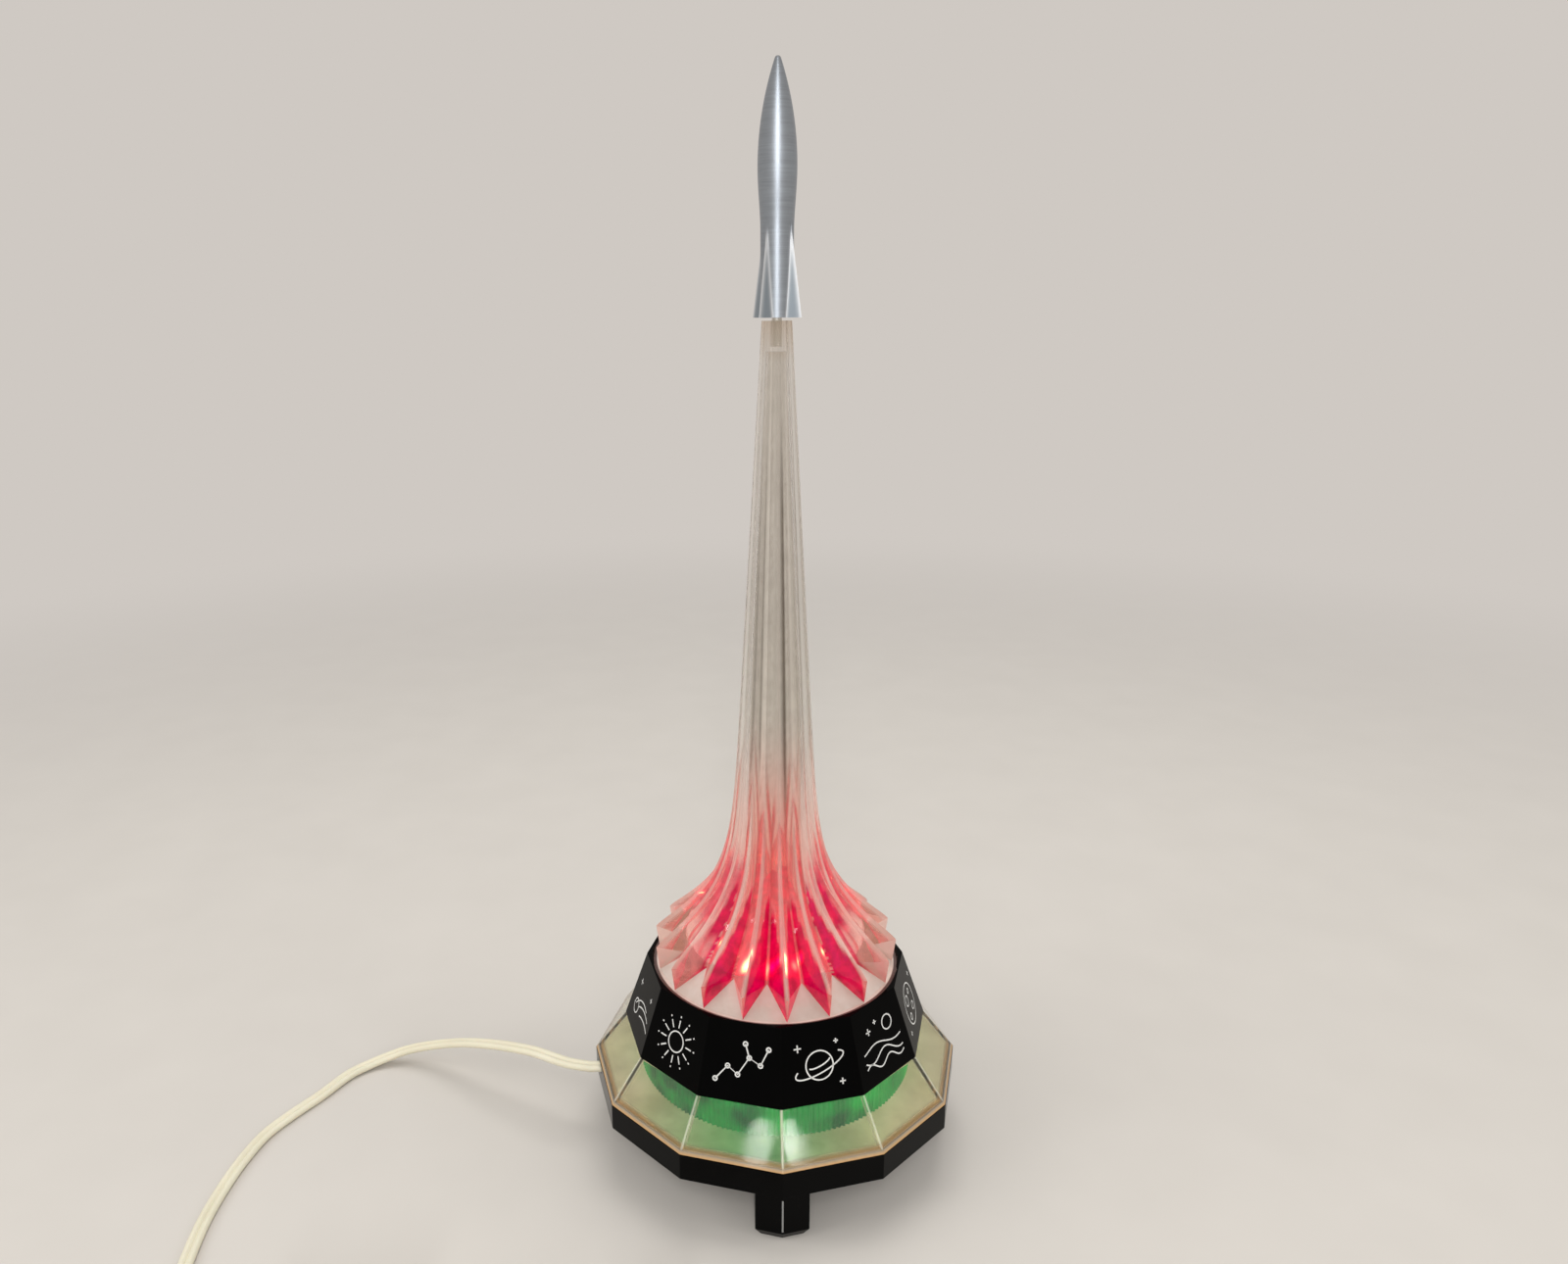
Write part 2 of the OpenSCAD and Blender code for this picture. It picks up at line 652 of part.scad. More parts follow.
module rocket() color("#9aa0a8") translate([0, 0, z_rocket]) difference() {
    union() {
        rotate_extrude() polygon(concat(
            [[0, 0], [waist_r, 0]],
            [for (k = [0:rocket_steps]) let (h = waist_h + (rocket_widest - waist_h) * k / rocket_steps) [waist_at(h), h]],
            [for (k = [1:rocket_steps]) let (h = rocket_widest + (rocket_l - rocket_widest) * k / rocket_steps) [nose_at(h), h]],
            [[0, rocket_l]]
        ));
        for (k = [0:fin_count - 1]) rotate([0, 0, 270 + fin_turn + 360 * k / fin_count]) fin();
    }
    rod(stud_r + run_gap, -over, over + stud_up);
}

module rocket_stud() color("gainsboro") rod(stud_r, z_plume - stud_down, stud_down + rocket_gap + stud_up - seat_gap);

// Lampholder and bulb

module holder_nipple() color("silver") tube(nipple_r, nipple_bore, z_top - nipple_down, nipple_down + nipple_up);

module holder_nut() color("silver") difference() {
    translate([0, 0, z_deck - nut_t]) cylinder(r = nipple_r * 1.7, h = nut_t, $fn = 6);
    rod(nipple_r + screw_gap, z_deck - nut_t - over, nut_t + 2 * over);
}

module holder_body() color("#2a1a12") difference() {
    rod(holder_r, z_top, holder_h);
    rod(nipple_r + screw_gap, z_top - over, nipple_up + over);
    rod(nipple_bore, z_top, holder_floor + over);
    rod(shell_out + screw_gap, z_contact, holder_h);
}

module holder_shell() color("goldenrod") {
    tube(shell_out, shell_in, z_contact, shell_h);
    translate([-2, -shell_in - shell_t / 2, z_contact]) cube([4, shell_in + shell_t / 2 - core_y + core_r, contact_t]);
}

module holder_contact() color("goldenrod") {
    translate([-2, core_y - core_r, z_contact]) cube([4, shell_in - 1.4 - core_y + core_r, contact_t]);
    translate([0, 0, z_contact]) translate([-1, 0.3, contact_t]) cube([2, 1.4, z_cap - insulator_h - seat_gap - z_contact - contact_t]);
}

module bulb_insulator() color("#15151a") translate([0, 0, z_cap - insulator_h])
    cylinder(r1 = 2.2, r2 = cap_r - 1.4, h = insulator_h);

module bulb_cap() color("gainsboro") difference() {
    rod(cap_r, z_cap, cap_h);
    rod(cap_r - 0.5, z_cap + 0.8, cap_h);
}

function glass_at(h) = h < belly_h
    ? neck_r + (bulb_r - neck_r) * (1 - cos(180 * h / belly_h)) / 2
    : bulb_r * sqrt(1 - pow((h - belly_h) / (bulb_l - belly_h), 2));
glass_steps = 24;
glass_dip = 7;                  // depth of the neck inside the cap

module bulb_glass() color("#fff4d8", 0.5) translate([0, 0, z_glass]) rotate_extrude() polygon(concat(
    [[neck_r - bulb_wall, -glass_dip], [neck_r, -glass_dip]],
    [for (k = [0:glass_steps]) let (h = bulb_l * k / glass_steps) [glass_at(h), h]],
    [for (k = [glass_steps:-1:0])
        let (h = (bulb_l - bulb_wall) * k / glass_steps) [max(glass_at(h) - bulb_wall, 0) * (k == glass_steps ? 0 : 1), h]]
));

module bulb_stem() color("#eef4f4", 0.6) {
    rod(2.6, z_glass - glass_dip, stem_top - z_glass + glass_dip);
    rod(neck_r - bulb_wall - screw_gap, z_glass - glass_dip, 1.5);
}

// One wire: up from the stem, out, across as the filament, and down again
filament_rise = filament_z - stem_top;
filament_route = [
    [-1.4, 0, 0], [-1.4, 0, filament_rise * 0.4], [-filament_half, 0, filament_rise * 0.95], [0, 0, filament_rise],
    [filament_half, 0, filament_rise * 0.95], [1.4, 0, filament_rise * 0.4], [1.4, 0, 0]
];
thin_wire = [for (j = [0:5]) 0.4 * [cos(60 * j), sin(60 * j)]];

module bulb_filament() color("#ffb040") translate([0, 0, stem_top]) sweep(smooth(filament_route, 4), thin_wire, [0, 1, 0]);

// Flex in the base

module flex_inside() color("ivory") sweep(smooth(flex_route, 2), lying_flex);

core_path = concat(
    [[core_x, 0, 0], [(core_x - core_bend) / 2, 0, 0]],
    [for (k = [0:6]) core_bend * [sin(15 * k) - 1, 0, 1 - cos(15 * k)]],
    [[0, 0, z_contact - z_laid - 4], [0, 0, z_contact - z_laid - 0.1]]
);

module core_wires() color("white") for (s = [-1, 1])
    translate([0, s * core_y, z_laid]) sweep(core_path, round_core, [0, 1, 0]);

module cord_clamp() color("#3a3a3e") difference() {
    translate([clamp_x, exit_y, z_laid + flex_t / 2 + screw_gap]) union() {
        translate([-clamp_w / 2, -clamp_half, 0]) cube([clamp_w, 2 * clamp_half, clamp_t]);
        for (s = [-1, 1]) translate([-clamp_w / 2, s * (clamp_half - 1.9) - 1.9, z_floor - z_laid - flex_t / 2 - screw_gap])
            difference() {
                cube([clamp_w, 3.8, z_laid + flex_t / 2 + screw_gap + over - z_floor]);
                translate([-over, s > 0 ? -over : 3.8 - 0.4, -over]) cube([clamp_w + 2 * over, over + 0.4, 2 * flex_t]);
            }
    }
    for (s = [-1, 1]) translate([clamp_x, exit_y + s * (clamp_half - 2), z_floor - over])
        cylinder(r = clamp_screw_r + screw_gap, h = tray_h);
}

module clamp_screws() color("silver") for (s = [-1, 1])
    translate([clamp_x, exit_y + s * (clamp_half - 2), z_laid + flex_t / 2 + screw_gap + clamp_t])
        mirror([0, 0, 1]) screw(2, 1.2, clamp_screw_r, clamp_t + flex_t + tray_floor - 1.5);

// Free flex

lead_path = smooth(lead_route, lead_steps);

module cord_lead() color("ivory") sweep(lead_path, lying_flex);

// Radius and height of the coil after a number of turns. It spirals in, climbs in the half
// turn before it reverses, steps clear of the climb, and spirals out on top.
function eased(t) = let (u = min(max(t, 0), 1)) u * u * (3 - 2 * u);
function coil_r(turn) = turn <= coil_turns_in
    ? coil_out_r - coil_step * turn
    : coil_in_r + coil_step * (turn - coil_turns_in) + coil_step * eased((turn - coil_turns_in) / 0.5);
function coil_z(turn) = coil_low + (coil_high - coil_low) * eased((turn - coil_turns_in + 0.5) / 0.5);
function coil_point(turn) =
    [coil_x + coil_r(turn) * sin(360 * turn), coil_y + coil_r(turn) * cos(360 * turn), coil_z(turn)];
coil_start = switch_x0 + switch_l - entry;
coil_lead = [
    for (x = [coil_start, coil_start + entry, coil_start + entry + 6]) [x, row_y, switch_split],
    for (k = [1:4]) [coil_x - coil_run + 6 + (coil_run - 12) * k / 4, row_y, switch_split + (coil_low - switch_split) * eased(k / 4)]
];
coil_tail = [
    for (k = [1:3]) [coil_x + 6 + (plug_run - 14) * k / 3, row_y, coil_high + (plug_z - coil_high) * eased(k / 3)],
    for (x = [plug_x, plug_x + entry]) [x, row_y, plug_z]
];
coil_loops = [for (k = [0:coil_turns * coil_rings]) coil_point(k / coil_rings)];
coil_path = concat(coil_lead, coil_loops, coil_tail);

// Least gap between turns, on rings at the same angle of different turns
loop_rings = [for (i = [0:len(coil_loops) - 1]) ring(coil_path, i + len(coil_lead), standing_flex, [0, 0, 1])];
least_gap = min([
    for (i = [0:len(loop_rings) - 1], turn = [1:coil_turns])
        let (other = i + turn * coil_rings) if (other < len(loop_rings))
            min([for (p = loop_rings[i], q = loop_rings[other]) norm(p - q)])
]);

module cord_coil() color("ivory") sweep(coil_path, standing_flex);

module coil_tie() color("#2c2c30") {
    crossed = [for (k = [0:coil_turns - 1]) coil_r(tie_turn + k)];
    r0 = min(crossed) - flex_t / 2 - tie_gap;
    r1 = max(crossed) + flex_t / 2 + tie_gap;
    inside = coil_high + flex_w / 2 + tie_gap - tie_t;
    translate([coil_x, coil_y, 0]) rotate([0, 0, 90 - 360 * tie_turn]) translate([r0 - tie_t, -tie_w / 2, 0]) difference() {
        cube([r1 - r0 + 2 * tie_t, tie_w, inside + 2 * tie_t]);
        translate([tie_t, -over, tie_t]) cube([r1 - r0, tie_w + 2 * over, inside]);
    }
}

// In-line switch

module switch_slots() for (s = [-1, 1]) translate([s * switch_l / 2, 0, switch_split])
    cube([4 * switch_wall, s < 0 ? slot_w : slot_t, s < 0 ? slot_t : slot_w], center = true);

module at_posts() for (s = [-1, 1]) translate([s * post_at[0], s * post_at[1], 0]) children();

module switch_base() color("#f0ece0") translate([switch_x, row_y, 0]) difference() {
    union() {
        difference() {
            round_plate(switch_l, switch_w, switch_round, 0, switch_split);
            round_plate(switch_l - 2 * switch_wall, switch_w - 2 * switch_wall, switch_round - switch_wall, switch_wall, switch_split);
        }
        at_posts() rod(post_r, switch_wall - over / 2, switch_split - switch_wall + over / 2);
    }
    switch_slots();
    at_posts() {
        rod(post_screw_r + screw_gap, -over, switch_h);
        rod(switch_head_r + seat_gap, -over, over + switch_head_h);
    }
}

module switch_cover() color("#f0ece0") translate([switch_x, row_y, 0]) difference() {
    union() {
        difference() {
            round_plate(switch_l, switch_w, switch_round, switch_split, switch_h - switch_split);
            round_plate(switch_l - 2 * switch_wall, switch_w - 2 * switch_wall, switch_round - switch_wall,
                switch_split - over, switch_h - switch_split - switch_wall + over);
        }
        at_posts() rod(post_r, switch_split, switch_h - switch_split - switch_wall + over / 2);
        for (s = [-1, 1]) translate([-cheek_l / 2, s * (rocker_w / 2 + seat_gap + cheek_w / 2) - cheek_w / 2, switch_split + 0.6])
            cube([cheek_l, cheek_w, switch_h - switch_split - switch_wall]);
    }
    switch_slots();
    at_posts() rod(post_screw_r + screw_gap, switch_split - over, switch_h - switch_split - switch_wall);
    translate([0, 0, switch_h]) cube([rocker_window, rocker_w + 2 * seat_gap, 4 * switch_wall], center = true);
    translate([0, 0, pivot_z]) rotate([90, 0, 0]) cylinder(r = pivot_r + run_gap, h = 2 * cheek_out + over, center = true);
}

// The window clears the rocker's ends at either tilt
rocker_reach = switch_h - pivot_z;
rocker_window = rocker_l * cos(rocker_tilt) + 2 * rocker_reach * sin(rocker_tilt) + 4 * seat_gap;

module switch_rocker() color("#20201f") translate([switch_x, row_y, pivot_z]) rotate([0, rocker_tilt, 0]) {
    rotate([90, 0, 0]) linear_extrude(rocker_w, center = true) union() {
        circle(rocker_hub);
        polygon([
            [-rocker_l / 2, rocker_in], [rocker_l / 2, rocker_in], [rocker_l / 2, rocker_rise + rocker_lip],
            [0, rocker_rise], [-rocker_l / 2, rocker_rise + rocker_lip]
        ]);
    }
    rotate([90, 0, 0]) cylinder(r = pivot_r, h = 2 * cheek_out - seat_gap, center = true);
}

module switch_contacts() color("goldenrod") translate([switch_x, row_y, switch_wall]) for (s = [-1, 1])
    translate([s * 12 - 8, -2.5, 0]) {
        cube([16, 5, 0.8]);
        translate([s > 0 ? 0 : 15.2, 0, 0]) cube([0.8, 5, 3]);
    }

module switch_screws() color("silver") translate([switch_x, row_y, 0]) at_posts()
    translate([0, 0, switch_head_h]) screw(switch_head_r, switch_head_h, post_screw_r, switch_h - switch_wall - switch_head_h - 2);

// Plug

// A neck that widens to the plug's width, longer and wider than the plug itself
module plug_taper() {
    half = plug_neck / 2;
    slope = (plug_w - plug_neck) / 2 / (plug_l / 3);
    wide = half + slope * (plug_l * 5 / 6 + over);
    polygon([
        [-over, -half], [plug_l / 6, -half], [plug_l + over, -wide],
        [plug_l + over, wide], [plug_l / 6, half], [-over, half]
    ]);
}

module plug_half(z, h) difference() {
    translate([plug_x, row_y, z]) intersection() {
        translate([plug_l / 2, 0, 0]) round_plate(plug_l, plug_w, plug_round, 0, h);
        translate([0, 0, -over]) linear_extrude(h + 2 * over) plug_taper();
    }
    translate([plug_x, row_y, plug_z]) {
        cube([2 * (entry + seat_gap), slot_t, slot_w], center = true);
        for (s = [-1, 1]) translate([plug_l - pin_in - seat_gap, s * pin_pitch / 2, 0]) rotate([0, 90, 0])
            cylinder(r = pin_root_r + screw_gap, h = pin_in + seat_gap + over);
        translate([plug_l / 2, 0, -plug_z - over]) cylinder(r = plug_screw_r + screw_gap, h = plug_t - plug_head_h + over - 2);
        translate([plug_l / 2, 0, -plug_z - over]) cylinder(r = plug_head_r + seat_gap, h = over + plug_head_h);
    }
}

module plug_lower() color("#f0ece0") plug_half(0, plug_z);
module plug_upper() color("#f0ece0") plug_half(plug_z, plug_t - plug_z);

module plug_screw() color("silver") translate([plug_x + plug_l / 2, row_y, plug_head_h])
    screw(plug_head_r, plug_head_h, plug_screw_r, plug_t - 2 * plug_head_h - 3);

module plug_pins() color("goldenrod") for (s = [-1, 1])
    translate([plug_x + plug_l - pin_in, row_y + s * pin_pitch / 2, plug_z]) rotate([0, 90, 0]) {
        cylinder(r = pin_root_r, h = pin_in + over);
        translate([0, 0, pin_in]) cylinder(r = pin_r, h = pin_l - pin_r);
        translate([0, 0, pin_in + pin_l - pin_r]) sphere(pin_r);
    }

echo(lead_mm = length_of(lead_path), coil_mm = length_of(coil_path), coil_gap_mm = least_gap);

base_tray();
foot_front();
foot_right();
foot_left();
foot_screws();
deck_plate();
skirt();
green_filter();
collar();
diffuser_ring();
red_filter();
plume();
tie_screws();
rocket_stud();
rocket();
holder_nipple();
holder_nut();
holder_body();
holder_shell();
holder_contact();
bulb_glass();
bulb_cap();
bulb_insulator();
bulb_stem();
bulb_filament();
flex_inside();
core_wires();
cord_clamp();
clamp_screws();
cord_lead();
switch_base();
switch_cover();
switch_rocker();
switch_contacts();
switch_screws();
cord_coil();
coil_tie();
plug_lower();
plug_upper();
plug_screw();
plug_pins();
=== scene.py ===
# %% [markdown]
# # A rocket table lamp
# A turned metal rocket stands on a clear fluted plume. Light from a small bulb comes up through a red
# filter, so that the plume's flared foot glows. A black collar, a clear skirt with a green ring in it
# and a black base carry the plume. The lamp's solids are loaded first, as a fixed frame, and every
# piece made here takes its place from them.

import math

import bmesh
import bpy
import numpy as np
from mathutils import Matrix


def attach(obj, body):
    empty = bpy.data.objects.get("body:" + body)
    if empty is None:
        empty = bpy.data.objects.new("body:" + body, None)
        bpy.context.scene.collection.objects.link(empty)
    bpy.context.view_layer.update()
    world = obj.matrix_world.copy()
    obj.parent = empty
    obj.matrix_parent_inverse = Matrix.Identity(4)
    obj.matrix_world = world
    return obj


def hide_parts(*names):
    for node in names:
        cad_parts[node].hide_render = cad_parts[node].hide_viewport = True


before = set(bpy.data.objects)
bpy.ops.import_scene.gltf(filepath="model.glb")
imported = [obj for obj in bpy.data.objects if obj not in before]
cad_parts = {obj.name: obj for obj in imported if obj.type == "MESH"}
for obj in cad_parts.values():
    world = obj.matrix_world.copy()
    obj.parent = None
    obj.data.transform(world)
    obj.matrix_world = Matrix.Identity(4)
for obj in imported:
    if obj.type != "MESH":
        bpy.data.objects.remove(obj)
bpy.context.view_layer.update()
MM = 0.001

# %% [markdown]
# ## Camera
# The camera stands a little left of the lamp and looks down on its base. It could be set by eye, but
# the base is a regular twelve-sided form, so its place, turn and focal length were worked out from the
# corners. The picture's middle lies right of the lens axis, so the lens is shifted by that much.

# %% Camera
PHOTO_W = 1600
FOCAL_PX, AXIS_PX = 1173.65, 721.15
EYE, HEADING_DEG, LOOK_DOWN_DEG, ROLL_DEG = (-0.02142, -0.4756, 0.37228), 0.984, 15.62, -0.745
lens = bpy.data.cameras.new("camera")
lens.sensor_width = 36.0
lens.lens = FOCAL_PX / PHOTO_W * lens.sensor_width
lens.shift_x = (PHOTO_W / 2 - AXIS_PX) / PHOTO_W
lens.clip_start = 0.01
camera = bpy.data.objects.new("camera", lens)
camera.matrix_world = (
    Matrix.Translation(EYE)
    @ Matrix.Rotation(math.radians(HEADING_DEG), 4, "Z")
    @ Matrix.Rotation(math.radians(90 - LOOK_DOWN_DEG), 4, "X")
    @ Matrix.Rotation(math.radians(ROLL_DEG), 4, "Z")
)
bpy.context.collection.objects.link(camera)
bpy.context.scene.camera = camera
bpy.context.scene.view_settings.view_transform = "Standard"
print(f"lens {lens.lens:.2f} mm, shift {lens.shift_x:.4f}")

# %% [markdown]
# ## Helpers for shapes
# A shape could be built by editing a mesh step by step. Here it is a grid of points worked out as one
# array, which stays exact and short. `grid_faces` gives the faces between neighbouring points, and
# `solid` turns points and faces into an object whose faces point outwards.

# %% Helpers for shapes


def grid_faces(rows, columns, first=0, closed=True):
    """Faces of a grid of rows by columns points, numbered by rows. Closed joins last column and first."""
    r, c = np.meshgrid(np.arange(rows - 1), np.arange(columns if closed else columns - 1), indexing="ij")
    low, high = r * columns, (r + 1) * columns
    nxt = (c + 1) % columns
    quads = np.stack([low + c, low + nxt, high + nxt, high + c], axis=-1)
    return (quads.reshape(-1, 4) + first).tolist()


def solid(name, points, faces, sharp_deg=30.0):
    """Object from points and faces, with doubles merged, faces outwards and edges over sharp_deg sharp."""
    mesh = bpy.data.meshes.new(name)
    mesh.from_pydata(np.asarray(points).reshape(-1, 3).tolist(), [], faces)
    bm = bmesh.new()
    bm.from_mesh(mesh)
    bmesh.ops.remove_doubles(bm, verts=bm.verts, dist=1e-7)
    bmesh.ops.dissolve_degenerate(bm, edges=bm.edges, dist=1e-8)
    bmesh.ops.recalc_face_normals(bm, faces=bm.faces)
    bm.to_mesh(mesh)
    bm.free()
    mesh.shade_smooth()
    mesh.set_sharp_from_angle(angle=math.radians(sharp_deg))
    obj = bpy.data.objects.new(name, mesh)
    bpy.context.collection.objects.link(obj)
    return obj


# %% [markdown]
# ## Helpers for finishes
# A finish could be a picture wrapped round a piece. A tree of nodes round one Principled shader has no
# seams and any resolution, so all of them are that. `add` puts in one node, sets its values and links
# it. Colours are written as they look on a screen and turned to linear light.

# %% Helpers for finishes
MIX_A, MIX_B, MIXED = 6, 7, 2


def shade(code):
    """A hex colour as linear RGBA, by the sRGB curve."""
    v = np.array([int(code[i:i + 2], 16) for i in (1, 3, 5)]) / 255
    linear = np.where(v <= 0.04045, v / 12.92, ((v + 0.055) / 1.055) ** 2.4)
    return (*linear.tolist(), 1.0)


def feed(node, inputs):
    """Sets a node's inputs, each to a number, a hex colour or the output of another node."""
    for key, value in inputs.items():
        if isinstance(value, bpy.types.NodeSocket):
            node.id_data.links.new(value, node.inputs[key])
        else:
            node.inputs[key].default_value = shade(value) if isinstance(value, str) else value


def add(tree, kind, inputs, **settings):
    """One node with its settings and inputs."""
    node = tree.nodes.new(kind)
    for key, value in settings.items():
        setattr(node, key, value)
    feed(node, inputs)
    return node


def new_finish(name, **sockets):
    """A material whose Principled shader has these constants, with spaces in the names written as _."""
    mat = bpy.data.materials.new(name)
    mat.use_nodes = True
    tree = mat.node_tree
    shader = tree.nodes["Principled BSDF"]
    feed(shader, {key.replace("_", " "): value for key, value in sockets.items()})
    return mat, tree, shader, add(tree, "ShaderNodeTexCoord", {}).outputs["Object"]


# %% [markdown]
# ## Floor
# The lamp stands on a plain warm grey ground without a horizon line. A bent backdrop would do that, but
# a flat floor is enough: near the lamp it is matt and takes shadows, and further out it turns into the
# backdrop's own tone.

# %% Floor


def seen_rays(tree):
    """1 for a ray from the camera, a mirror or glass, and 0 for soft light."""
    ray = add(tree, "ShaderNodeLightPath", {}).outputs
    first, second, third = (ray[f"Is {kind} Ray"] for kind in ("Camera", "Glossy", "Transmission"))
    direct = add(tree, "ShaderNodeMath", {0: first, 1: second}, operation="MAXIMUM")
    return add(tree, "ShaderNodeMath", {0: direct.outputs[0], 1: third}, operation="MAXIMUM").outputs[0]


GROUND = "#cfc9c3"
FLOOR_HALF, FADE_FROM, FADE_TO = 6.0, 0.45, 1.5
corner = np.array([[-1, -1, 0], [1, -1, 0], [1, 1, 0], [-1, 1, 0]]) * FLOOR_HALF
floor = solid("floor", corner, [[0, 1, 2, 3]])
ground, tree, shader, place = new_finish("matt_paper_ground", Roughness=0.9)
speck = add(tree, "ShaderNodeTexNoise", {"Vector": place, "Scale": 1 / (50 * MM), "Detail": 2.0})
tone = add(tree, "ShaderNodeMix", {0: speck.outputs["Fac"], MIX_A: "#c6c0b8", MIX_B: "#ccc6be"},
           data_type="RGBA")
feed(shader, {"Base Color": tone.outputs[MIXED]})
away = add(tree, "ShaderNodeVectorMath", {0: place}, operation="LENGTH")
fade = add(tree, "ShaderNodeMapRange", {
    "Value": away.outputs["Value"], "From Min": FADE_FROM, "From Max": FADE_TO,
}, interpolation_type="SMOOTHSTEP")
far = add(tree, "ShaderNodeMath", {0: fade.outputs["Result"], 1: seen_rays(tree)}, operation="MULTIPLY")
flat_tone = add(tree, "ShaderNodeEmission", {"Color": GROUND})
mixed = add(tree, "ShaderNodeMixShader", {0: far.outputs[0], 1: shader.outputs[0], 2: flat_tone.outputs[0]})
feed(tree.nodes["Material Output"], {"Surface": mixed.outputs[0]})
floor.data.materials.append(ground)
print("floor: tone", GROUND)

# %% [markdown]
# The world is a room with soft light from all sides. It could be one white sphere, but then metal and
# glass would mirror white. So rays that see it directly, in a mirror or through glass get the
# backdrop's tone, and only soft light gets white.

# %% World
world = bpy.data.worlds.new("studio")
world.use_nodes = True
bpy.context.scene.world = world
tree = world.node_tree
tree.nodes.clear()
soft = add(tree, "ShaderNodeBackground", {"Color": "#ffffff", "Strength": 0.5})
backdrop = add(tree, "ShaderNodeBackground", {"Color": GROUND})
mixed = add(tree, "ShaderNodeMixShader", {0: seen_rays(tree), 1: soft.outputs[0], 2: backdrop.outputs[0]})
add(tree, "ShaderNodeOutputWorld", {"Surface": mixed.outputs[0]})
print("world:", world.name)

# %% [markdown]
# ## Lamps
# One upright lamp in front gives turned metal a single highlight along its whole length. Soft lamps at
# the sides and above fill the rest. Those could be very large, but even then they would show as white
# patches in the plume's flat sides, so mirrors and glass don't see them. Two narrow lamps are there
# only for the white marks in the skirt's front.

# %% Lamps


def soft_lamp(name, place, aim, width, height, watts, mirrored=True):
    """An oblong soft lamp at place that faces aim. Unless it is mirrored, shine and glass don't show it."""
    light = bpy.data.lights.new(name, "AREA")
    light.shape = "RECTANGLE"
    light.size = width
    light.size_y = height
    light.energy = watts
    obj = bpy.data.objects.new(name, light)
    way = np.subtract(aim, place)
    level = math.atan2(way[1], way[0]) - math.pi / 2
    tilt = math.atan2(math.hypot(way[0], way[1]), -way[2])
    turn = Matrix.Rotation(level, 4, "Z") @ Matrix.Rotation(tilt, 4, "X")
    obj.matrix_world = Matrix.Translation(place) @ turn
    obj.visible_glossy = mirrored
    obj.visible_transmission = mirrored
    bpy.context.collection.objects.link(obj)
    return obj


front_lamp = soft_lamp("front", (-0.06, -1.35, 0.85), (0, 0, 0.25), 0.24, 1.2, 11)
soft_lamp("left", (-1.35, -0.35, 1.0), (0, 0, 0.15), 1.0, 1.0, 8, mirrored=False)
soft_lamp("right", (1.35, -0.25, 0.9), (0, 0, 0.2), 1.0, 1.0, 5.5, mirrored=False)
soft_lamp("top", (0.1, 0.45, 1.4), (0, 0, 0.1), 0.8, 0.8, 7, mirrored=False)
soft_lamp("strip_left", (-0.432, -0.901, 0.636), (-0.009, -0.076, 0.042), 0.026, 0.05, 0.1)
soft_lamp("strip_right", (0.499, -0.875, 0.616), (0.004, -0.077, 0.043), 0.022, 0.05, 0.085)
print("lamps:", len(bpy.data.lights))

# %% [markdown]
# ## Flex
# A flat twin flex leaves the base at the left, droops to the table and runs out of the picture. The
# rest is put away: an in-line switch, then a tied coil, then the plug. It could be a curve with a
# bevel, but its section isn't round: two touching cores with a groove on each side. So the section is
# carried along points. The free stretch lies flat, and the coil's turns stand on edge.

# %% Flex: route of the free stretch
CORE_R = 1.55
EXIT = np.array([-82.32, -10.0, 30.2])
LIE, SWITCH_Z, ROW_Y = 1.7, 9.0, -139.0
# Each point is x and y in mm, and its share of the way up from the table to the exit or the switch.
drop = np.array([
    [-82.32, -10, 1], [-84.32, -10, 1], [-86.82, -10, 1], [-91.32, -9.1, 1],
    [-100, -6, 0.99], [-114.5, 2.5, 0.96], [-126, 8.5, 0.9],
    [-138, 15, 0.8], [-151, 22.5, 0.65], [-163, 29, 0.48], [-175.5, 33.5, 0.32], [-187.5, 35, 0.19],
    [-197, 33.5, 0.09], [-205, 30, 0.03], [-214, 22, 0.01], [-223, 6.5, 0], [-232.5, -8, 0],
    [-240, -22.5, 0], [-244, -41, 0], [-245.5, -59, 0], [-245.5, -75, 0], [-244, -91, 0], [-241.5, -106, 0],
])
climb = np.array([
    [-236, -121, 0.03], [-227, -132, 0.2], [-214, -138, 0.7], [-205, ROW_Y, 0.97], [-194, ROW_Y, 1],
])
drop[:, 2] = LIE + (EXIT[2] - LIE) * drop[:, 2]
climb[:, 2] = LIE + (SWITCH_Z - LIE) * climb[:, 2]


def smooth(route, steps):
    """Curve through a route's points: each stretch is a cubic with the neighbours' slope at its ends."""
    p = np.concatenate([route[:1], route, route[-1:]])
    a, b, c, d = (q[:, None] for q in (p[:-3], p[1:-2], p[2:-1], p[3:]))
    t = np.linspace(0, 1, steps, endpoint=False)[None, :, None]
    bend, twist = 2 * a - 5 * b + 4 * c - d, 3 * b - a - 3 * c + d
    curve = 0.5 * (2 * b + (c - a) * t + bend * t**2 + twist * t**3)
    return np.concatenate([curve.reshape(-1, 3), route[-1:]])


def length_of(path):
    """Sum of the distances between a path's points."""
    return np.linalg.norm(np.diff(path, axis=0), axis=1).sum()


lead_path = smooth(np.concatenate([drop, climb]), 8) * MM
print(f"lead {length_of(lead_path):.3f} m")

# %% [markdown]
# The coil winds inwards on the table for three and a half turns, climbs, and winds outwards again on
# top. Its radius changes evenly with the turn, and the climb is a smooth step.

# %% Flex: route of the coil


def eased(t):
    """Smooth step from 0 to 1: three times the square less twice the cube."""
    u = np.clip(t, 0, 1)
    return u * u * (3 - 2 * u)


